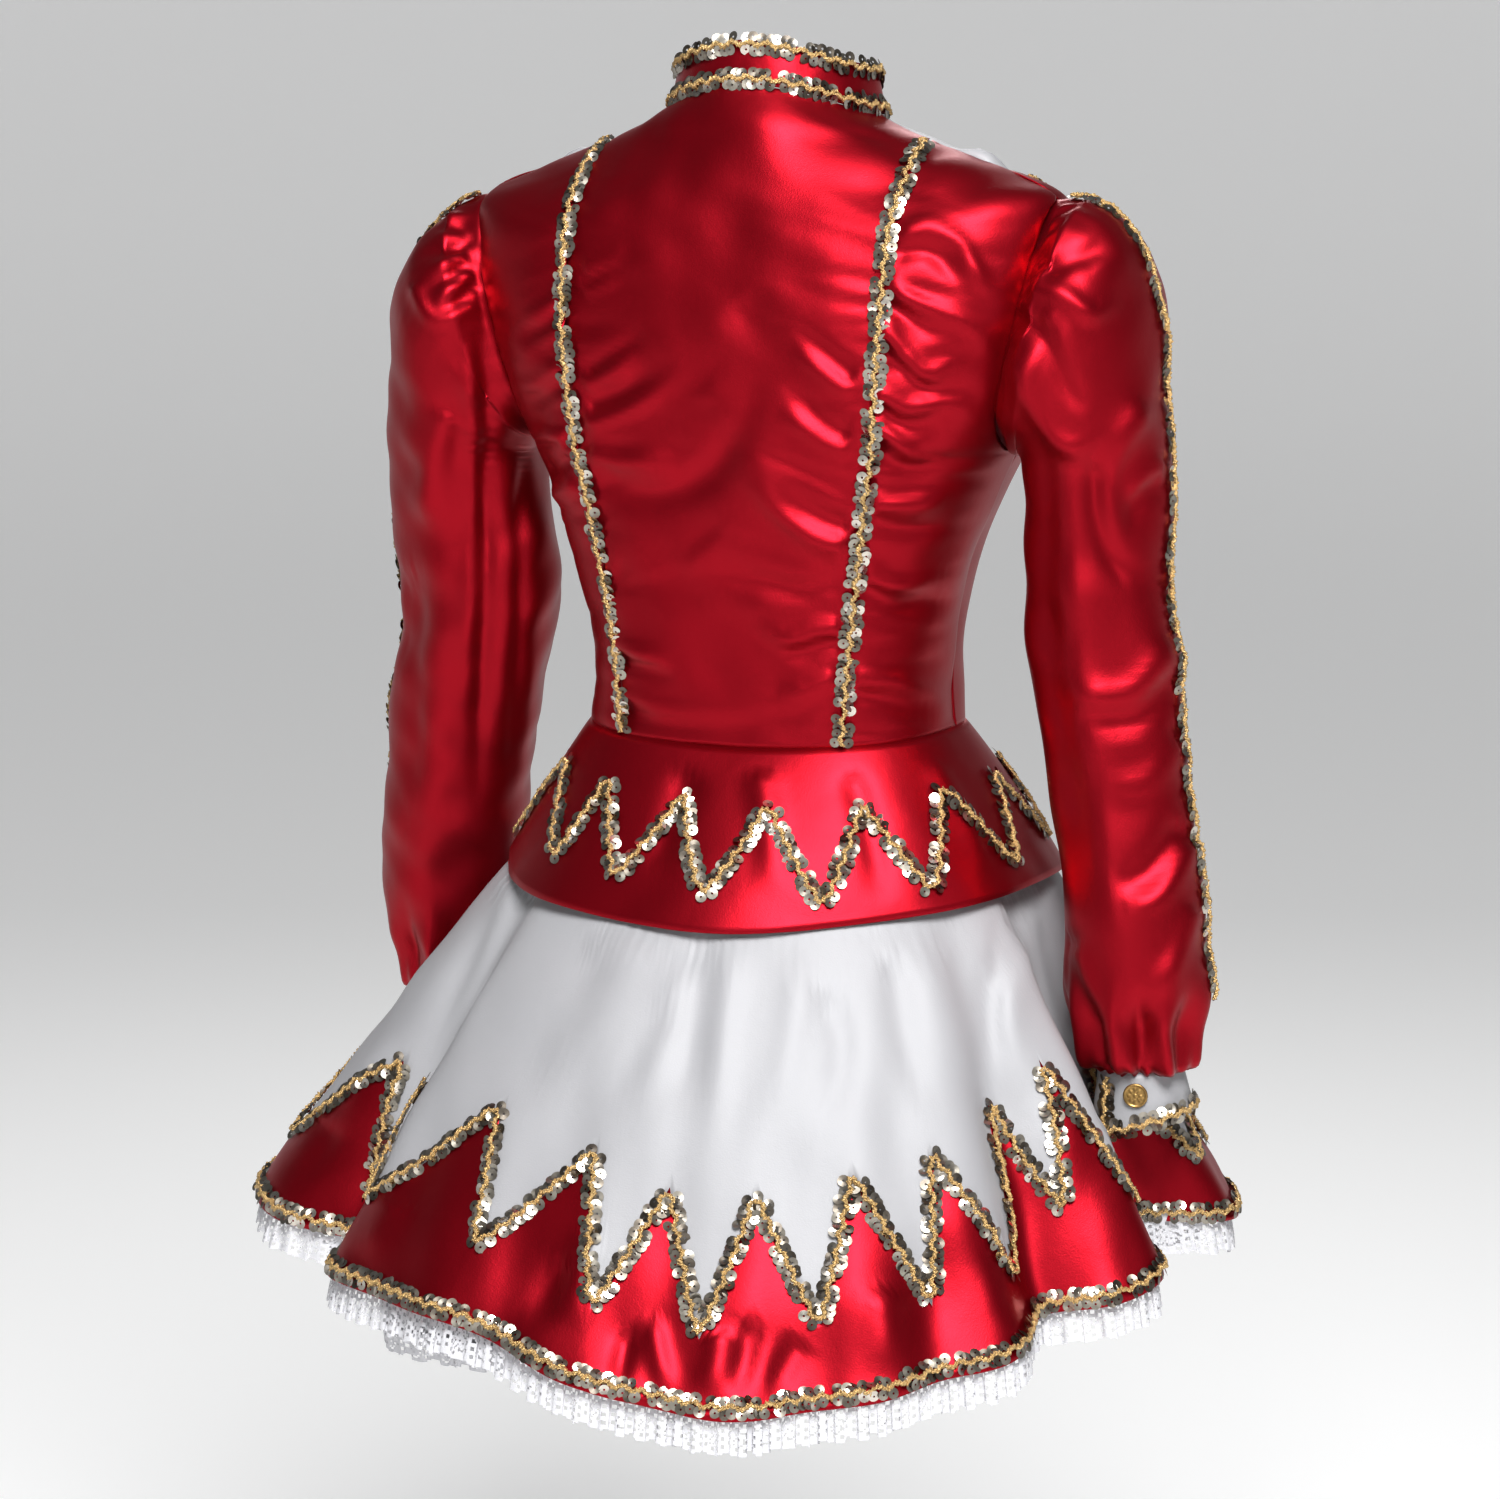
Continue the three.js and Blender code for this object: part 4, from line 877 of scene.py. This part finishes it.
for word, side, arm in (("left", 1, LEFT_ARM), ("right", -1, RIGHT_ARM)):
    at = cuff_at(arm[-1], side)
    turns = np.arange(96) * 3.75
    grid = at(turns[None], np.linspace(0, 1, 12)[:, None])
    normals = grid_normals(grid, True)
    height = unevenness(grid, 30, 0.35, 3)
    cloth(f"cuff_{word}", grid + normals * height[..., None], True, CUFF_CLOTH, "white_satin")
    # One braid along the cuff's edge, and one across it beside the button
    paths = []
    for around_turns, shares in ((np.linspace(-176, 184, 120), np.full(120, 0.9)),
                                 (np.full(30, 118.0), np.linspace(0.05, 0.88, 30))):
        line = at(around_turns, shares)
        paths.append((line, unit(at(around_turns, shares, 5.0) - line)))
    braid_piece(f"braid_cuff_{word}", paths, 60 + side)
    button(word, at)


# Peplum and skirt
def by_quarter(values, angle):
    """A value that is given at the side, back and front."""
    c = np.cos(np.radians(angle))
    side, back, front = values
    return side + (np.where(c >= 0, back, front) - side) * c * c


def waist_at(angle):
    half, mid, back, front, z_side, z_back, _, square = TORSO[-1]
    c = np.cos(np.radians(angle))
    s = np.sin(np.radians(angle))
    power = np.where(c >= 0, square, FRONT_SQUARE)
    depth = np.where(c >= 0, back - mid, mid - front)
    reach = ((np.abs(s) / half) ** power + (np.abs(c) / depth) ** power) ** (-1 / power)
    return np.stack([-reach * s, mid + reach * c, z_side + (z_back - z_side) * c * c], -1)


def peplum_at(angle, share):
    angle, share = np.broadcast_arrays(np.asarray(angle, float), np.asarray(share, float))
    top = waist_at(angle)
    reach = by_quarter(PEPLUM_REACH, angle)
    edge = np.stack([-reach * np.sin(np.radians(angle)), reach * np.cos(np.radians(angle))], -1)
    flat = top[..., :2] + (edge - top[..., :2]) * (np.clip(share, 0, None) ** FLARE)[..., None]
    flat = flat + unit(flat) * (2.2 * share * np.sin(np.radians(angle * 7 + 30)))[..., None]
    z = top[..., 2] - 0.8 + (by_quarter(PEPLUM_Z, angle) - top[..., 2]) * share
    return np.concatenate([flat, z[..., None]], -1)


def skirt_reach(angle, share):
    """How far out the skirt is: straight under the peplum, then flared, with its flutes."""
    waist = waist_at(angle)
    way = np.stack([-np.sin(np.radians(angle)), np.cos(np.radians(angle))], -1)
    start = (waist[..., :2] * way).sum(-1) - 2.3
    covered_reach = by_quarter(PEPLUM_REACH, angle) - SKIRT_INSIDE
    z_top = waist[..., 2] - SKIRT_DROP
    covered = (z_top - by_quarter(PEPLUM_Z, angle)) / (z_top - around(2, angle))
    below = np.clip((share - covered) / (1 - covered), 0, None)
    reach = covered_reach + (around(1, angle) - covered_reach) * below ** FLARE
    for at, width, depth, first, steep in FLUTES:
        grow = np.clip((share - first) / (1 - first), 0, None) ** 1.1
        reach = reach + depth * grow * np.exp(-np.abs(turned(at, angle) / width) ** steep)
    return np.where(share < covered, start + (covered_reach - start) * share / covered, reach)


def skirt_at(angle, share):
    angle, share = np.broadcast_arrays(np.asarray(angle, float), np.asarray(share, float))
    reach = skirt_reach(angle, share)
    z_top = waist_at(angle)[..., 2] - SKIRT_DROP
    z = z_top + (around(2, angle) - z_top) * share
    return np.stack([-np.sin(np.radians(angle)) * reach, np.cos(np.radians(angle)) * reach, z], -1)


def all_round(corners, count, peak, valley):
    """Zigzag corners all round: the ones that show, then evenly spaced ones, the first of them a valley."""
    first, last = corners[0], corners[-1]
    gap = 360 - (last[0] - first[0])
    rest = [(last[0] + gap * k / count, valley if k % 2 else peak) for k in range(1, count)]
    every = np.array(corners + rest + [(first[0] + 360, first[1])])
    return every[:, 0], every[:, 1]


def zig_share(corners, angle):
    turns, shares = corners
    return np.interp((np.asarray(angle, float) - turns[0]) % 360 + turns[0], turns, shares)


def rounded_path(f, corners, width):
    """The zigzag as a line on the cloth, its corners rounded over some fortieths of a side."""
    turns, shares = corners
    t = np.linspace(0, len(turns) - 1, 40 * (len(turns) - 1) + 1)
    u = np.interp(t, np.arange(len(turns)), turns)
    v = np.interp(t, np.arange(len(turns)), shares)
    kernel = np.hanning(2 * width + 1)
    kernel /= kernel.sum()
    step = turns[-1] - turns[0]
    u_long = np.r_[u[-width - 1:-1] - step, u, u[1:width + 1] + step]
    v_long = np.r_[v[-width - 1:-1], v, v[1:width + 1]]
    u = np.convolve(u_long, kernel, "valid")
    v = np.convolve(v_long, kernel, "valid")
    return surface_path(f, u, v, from_axis)


# Corners that show, as degrees from the centre back and share down the cloth
PEPLUM_CORNERS = [
    (-78, 0.91), (-58.8, 0.22), (-40, 0.785), (-35.5, 0.24), (-20, 0.80), (-9.8, 0.24), (3.5, 0.82),
    (18, 0.31), (30, 0.9), (43, 0.32), (53.5, 0.9), (64.5, 0.29), (79, 0.87), (91.5, 0.29)]
SKIRT_CORNERS = [
    (-83, 0.66), (-67.2, 0.9), (-54.2, 0.66), (-51.3, 0.912), (-43.5, 0.655), (-39.8, 0.868), (-22.5, 0.645),
    (-17.6, 0.875), (-5.5, 0.652), (-1, 0.882), (6, 0.676), (12, 0.888), (17.8, 0.67), (25.8, 0.883),
    (30.8, 0.657), (39.5, 0.885), (42.2, 0.652), (52.5, 0.908), (55.5, 0.622), (60.8, 0.83), (64, 0.577)]
peplum_corners = all_round(PEPLUM_CORNERS, 17, 0.24, 0.83)
skirt_corners = all_round(SKIRT_CORNERS, 34, 0.66, 0.88)

PEPLUM_FOLDS = [
    (0.9, 16, [(760, 770), (770, 830), (775, 900)]), (-0.9, 16, [(690, 770), (668, 830), (650, 880)]),
    (-0.8, 14, [(850, 770), (872, 840), (880, 905)]), (0.8, 12, [(930, 760), (965, 820), (990, 880)])]
turns = np.arange(360) * 1.0
shares = np.linspace(0, 1, 26)
grid = peplum_at(turns[None], shares[:, None])
normals = grid_normals(grid, True)
height = relief(grid, normals, PEPLUM_FOLDS) + unevenness(grid, 90, 0.8, 9) * shares[:, None]
folded = grid + normals * height[..., None]
cloth("peplum", folded, True, PEPLUM_CLOTH, "red_satin")
braid_piece("braid_peplum", [on_cloth(rounded_path(peplum_at, peplum_corners, 9), grid, folded)], 70)

WHITE_FOLDS = [
    (0.9, 12, [(512, 880), (484, 960), (448, 1050)]), (-0.9, 14, [(500, 880), (470, 960), (432, 1045)]),
    (-0.7, 29, [(600, 940), (556, 1030), (508, 1100)]), (0.7, 26, [(640, 930), (600, 1020), (545, 1090)]),
    (-0.9, 23, [(700, 930), (692, 1030), (690, 1110)]), (0.9, 17, [(733, 945), (720, 1050), (712, 1150)]),
    (-0.6, 17, [(672, 1000), (640, 1060), (600, 1110)]), (0.7, 17, [(690, 960), (664, 1040), (620, 1120)]),
    (-0.7, 17, [(826, 990), (842, 1060), (808, 1150)]), (0.7, 17, [(800, 960), (790, 1050), (770, 1130)]),
    (-0.8, 17, [(894, 960), (906, 1040), (934, 1120)]), (0.6, 20, [(925, 950), (950, 1030), (960, 1090)]),
    (-0.9, 13, [(1018, 905), (990, 1000), (996, 1080)]),
    (0.8, 13, [(1034, 905), (1012, 990), (1012, 1060)]),
]
BORDER_FOLDS = [
    (-1.1, 16, [(560, 1262), (545, 1290), (528, 1330)]), (1.1, 16, [(590, 1240), (575, 1280), (560, 1320)]),
    (-1.2, 11, [(630, 1330), (622, 1360), (618, 1395)]), (1.2, 11, [(652, 1322), (660, 1360), (672, 1398)]),
    (-1.2, 14, [(752, 1322), (745, 1360), (735, 1400)]), (1.0, 16, [(720, 1330), (716, 1365), (705, 1400)]),
    (-1.0, 14, [(800, 1340), (784, 1370), (770, 1398)]), (1.0, 19, [(880, 1290), (884, 1330), (886, 1375)]),
    (-1.0, 16, [(1000, 1240), (1012, 1290), (1020, 1330)]),
    (0.9, 19, [(400, 1200), (380, 1230), (360, 1262)]),
    (1.1, 14, [(1104, 1120), (1130, 1170), (1146, 1215)]),
    (-1.0, 16, [(330, 1120), (310, 1160), (285, 1190)]),
]


def skirt_grid(top, bottom, rows, columns=720):
    """One part of the skirt, flat and with its folds."""
    turns = np.arange(columns) * 360 / columns
    t = np.linspace(0, 1, rows)[:, None]
    share = top(turns)[None] * (1 - t) + bottom(turns)[None] * t
    grid = skirt_at(turns[None], share)
    normals = grid_normals(grid, True)
    height = relief(grid, normals, WHITE_FOLDS + BORDER_FOLDS)
    height += unevenness(grid, 100, 1.5, 21) * smooth_step((share - 0.3) / 0.4)
    return grid, grid + normals * height[..., None]


def seam(angle):
    return zig_share(skirt_corners, angle)


def waist_edge(angle):
    return np.zeros_like(angle)


def lower_edge(angle):
    return np.ones_like(angle)


white_flat, white_folded = skirt_grid(waist_edge, seam, 28)
border_flat, border_folded = skirt_grid(seam, lower_edge, 20)
skirt_flat = np.concatenate([white_flat, border_flat])
skirt_folded = np.concatenate([white_folded, border_folded])
cloth("skirt_white", white_folded, True, SKIRT_CLOTH, "white_satin")
cloth("skirt_border", border_folded, True, SKIRT_CLOTH, "red_satin")
zigzag = rounded_path(skirt_at, skirt_corners, 7)
braid_piece("braid_skirt", [on_cloth(zigzag, skirt_flat, skirt_folded)], 80)
HEM_BRAID_SHARE = 0.981
turns = np.arange(0, 361, 0.5)
edge_path = surface_path(skirt_at, turns, np.full(len(turns), HEM_BRAID_SHARE), from_axis)
braid_piece("braid_hem", [on_cloth(edge_path, skirt_flat, skirt_folded)], 81)

# Lace: gathered strips with holes cut between their flowers and along their scallops
PATTERN = 24            # columns of one flower and scallop
RUFFLE_WAVES = 168
RUFFLE_COLUMNS = RUFFLE_WAVES * 20
RUFFLE_ROWS = 26
NARROW_WAVES = 120
NARROW_COLUMNS = NARROW_WAVES * 16
NARROW_ROWS = 18


def lace_holes(rows, columns):
    """True where a cell of the lace is open: a net with solid flowers, drawn coarser than the real one."""
    r, c = np.meshgrid(np.arange(rows), np.arange(columns), indexing="ij")
    x = (c % PATTERN) - PATTERN / 2 + 0.5
    y = r - rows * 0.55
    spread = np.hypot(x, y * 1.05)
    petals = 3.4 + 1.7 * np.cos(5 * np.arctan2(y, x) + 0.6)
    flower = (spread < petals) & (spread > 1.1)
    net = (c % 4 < 2) & ((r + 2 * (c // 4 % 2)) % 4 < 2)
    ring = (spread > petals + 0.6) & (spread < petals + 2.0) & ((c + r) % 2 > 0)
    holes = (net | ring) & ~flower
    scallop = rows - 1 - 3.2 * (1 - np.abs(np.cos(np.pi * x / PATTERN)))
    edge = r > scallop
    rim = (r > scallop - 2) & ~edge
    holes = (holes & ~rim) | edge
    holes[:5] = False   # the whole strip that is sewn on
    return holes


def lace(name, grid):
    """The strip without its holes."""
    rows, columns = grid.shape[:2]
    holes = lace_holes(rows - 1, columns)
    faces = grid_faces(rows, columns, True)[~holes.reshape(-1)]
    used = np.unique(faces)
    fresh = np.zeros(rows * columns, int)
    fresh[used] = np.arange(len(used))
    return make(name, grid.reshape(-1, 3)[used], fresh[faces], [LACE])


def gathered_edge(f, waves, columns, rows, drop_by, tuck, behind, depth, seed):
    """A strip that hangs in waves from the edge of a surface, tucked behind it."""
    local = np.random.default_rng(seed)
    count = np.arange(columns)
    per_wave = columns // waves
    turns = -5 + 360 * count / columns
    edge = f(turns, np.ones(columns))
    slope = unit(edge - f(turns, np.full(columns, 0.94)))
    out = unit(edge * np.array([1, 1, 0]))
    wobble = np.interp(count / per_wave, np.arange(waves + 1), np.r_[local.uniform(0.6, 1.15, waves), 1.0])
    lean = np.interp(count / per_wave, np.arange(waves + 1), np.r_[local.normal(0, 0.5, waves), 0])
    place = 2 * np.pi * count / columns
    phase = place * waves + lean + 1.1 * np.sin(47 * place) + 0.8 * np.sin(29 * place + 1)
    fall = unit(slope * 0.45 + np.array([0, 0, -0.75]))
    side = np.cross(out, [0, 0, 1.0])
    grid = []
    for v in np.linspace(0, 1, rows):
        grow = 0.3 + 0.7 * smooth_step(v * 1.6)
        p = edge - slope * tuck * (1 - v) + fall * drop_by * v
        p = p - out * (behind + 2 * v) + out * (depth * wobble * np.sin(phase) * grow)[:, None]
        grid.append(p + side * (1.6 * grow * wobble * np.sin(2 * phase))[:, None])
    return np.array(grid)


grid = gathered_edge(skirt_at, RUFFLE_WAVES, RUFFLE_COLUMNS, RUFFLE_ROWS, 22.0, 7.0, 3.2, 2.1, 90)
ruffle = lace("lace_ruffle_net", grid)
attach(ruffle, "root")
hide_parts("lace_ruffle")


# Underskirt with a narrow lace edge
def under_at(angle, share):
    """Inside the skirt: it follows the flutes that are wide, by the least reach nearby."""
    angle, share = np.broadcast_arrays(np.asarray(angle, float), np.asarray(share, float))
    z_top = waist_at(angle)[..., 2] - SKIRT_DROP
    drop = 14 * np.exp(-(turned(-34, angle) / 24) ** 2)
    z = z_top + (by_quarter(UNDER_Z, angle) - drop - z_top) * share
    reach = np.full(angle.shape, 1e9)
    for near in range(-8, 9, 1):
        there = (z_top - z) / (z_top - around(2, angle + near))
        reach = np.minimum(reach, skirt_reach(angle + near, np.minimum(1.02, there)))
    reach = reach - 2.3 - 14 * share
    return np.stack([-np.sin(np.radians(angle)) * reach, np.cos(np.radians(angle)) * reach, z], -1)


turns = np.arange(360) * 1.0
shares = np.linspace(0, 1, 20)
grid = under_at(turns[None], shares[:, None])
for _ in range(6):
    grid = (grid * 2 + np.roll(grid, 1, 1) + np.roll(grid, -1, 1)) / 4
normals = grid_normals(grid, True)
height = (unevenness(grid, 60, 1.2, 5) - 1.2) * smooth_step((shares - 0.4) / 0.4)[:, None]
cloth("underskirt", grid + normals * height[..., None], True, UNDERSKIRT_CLOTH, "white_satin")
smooth_edge = grid[-1]


def under_edge(angle, share):
    place = np.asarray(angle, float) % 360
    low = np.floor(place).astype(int) % 360
    t = (place - np.floor(place))[:, None]
    at_edge = smooth_edge[low] * (1 - t) + smooth_edge[(low + 1) % 360] * t
    return at_edge + np.array([0, 0, 60.0]) * (1 - share)[:, None]


grid = gathered_edge(under_edge, NARROW_WAVES, NARROW_COLUMNS, NARROW_ROWS, 15.0, 3.0, 0.9, 1.4, 91)
narrow = lace("underskirt_lace_edge", grid)
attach(narrow, "root")

# Light, floor and camera
scene = bpy.context.scene
scene.view_settings.view_transform = "Standard"
world = bpy.data.worlds.new("studio")
scene.world = world
world.use_nodes = True
world.node_tree.nodes["Background"].inputs["Color"].default_value = (0.93, 0.94, 0.96, 1)
world.node_tree.nodes["Background"].inputs["Strength"].default_value = 0.1


def aim(way):
    """Turns of a lamp or camera that looks along a direction."""
    way = unit(np.asarray(way, float))
    pitch = np.arccos(-way[2])
    return (float(pitch), 0.0, float(np.arctan2(-way[0], way[1])))


# Soft boxes: name, place and target in metres, size and power
SOFT_BOXES = [
    ("key light", (-0.95, 1.75, 1.42), (0, 0, -0.25), 1.1, 128),
    ("camera side light", (-0.3, 3.0, 0.1), (0, 0, -0.45), 0.8, 8),
    ("front light", (0.9, -2.4, 1.1), (0, 0, -0.4), 0.9, 20),
]
for name, place, target, size, power in SOFT_BOXES:
    lamp_data = bpy.data.lights.new(name, "AREA")
    lamp_data.shape = "RECTANGLE"
    lamp_data.size = size
    lamp_data.size_y = size
    lamp_data.energy = power
    lamp = bpy.data.objects.new(name, lamp_data)
    lamp.location = place
    lamp.rotation_euler = aim(np.array(target) - np.array(place))
    scene.collection.objects.link(lamp)
sun_data = bpy.data.lights.new("overhead light", "SUN")
sun_data.energy = 0.7
sun_data.angle = 0.6
sun = bpy.data.objects.new("overhead light", sun_data)
sun.rotation_euler = aim((0.2, -0.5, -1.0))
scene.collection.objects.link(sun)

# Matt white paper: pale, with no gloss
paper, paper_surface = new_material("white paper backdrop")
paper_surface.inputs["Base Color"].default_value = colour("f4f4f4")
paper_surface.inputs["Roughness"].default_value = 0.9
paper_surface.inputs["Emission Color"].default_value = colour("ffffff")
paper_surface.inputs["Emission Strength"].default_value = 0.16

# Pale floor, 9 m across, that sweeps up all round into a wall: radius and rise of its rings, in metres
FLOOR_RINGS = [(0.02, 0), (9, 0), (11, 0.25), (12.6, 0.9), (13.6, 2.0), (14, 3.4)]
FLOOR_DROP = 1.3
spin = 2 * np.pi * np.arange(96) / 96
bowl = np.array([np.stack([np.cos(spin) * reach, np.sin(spin) * reach, np.full(96, rise - FLOOR_DROP)], -1)
                 for reach, rise in FLOOR_RINGS]) / MM
floor = make("pale floor", bowl.reshape(-1, 3), grid_faces(len(FLOOR_RINGS), 96, True), [paper])

camera_data = bpy.data.cameras.new("camera")
camera_data.sensor_width = 36
camera_data.lens = FOCAL / PHOTO_WIDTH * 36
camera_data.shift_x = -(MIDDLE[0] - PHOTO_WIDTH / 2) / PHOTO_WIDTH
camera_data.clip_end = 300
camera = bpy.data.objects.new("camera", camera_data)
camera.location = tuple((EYE * MM).tolist())
camera.rotation_euler = aim(-TOWARD * np.cos(PITCH) + np.array([0, 0, -np.sin(PITCH)]))
scene.collection.objects.link(camera)
scene.camera = camera

bpy.context.view_layer.update()
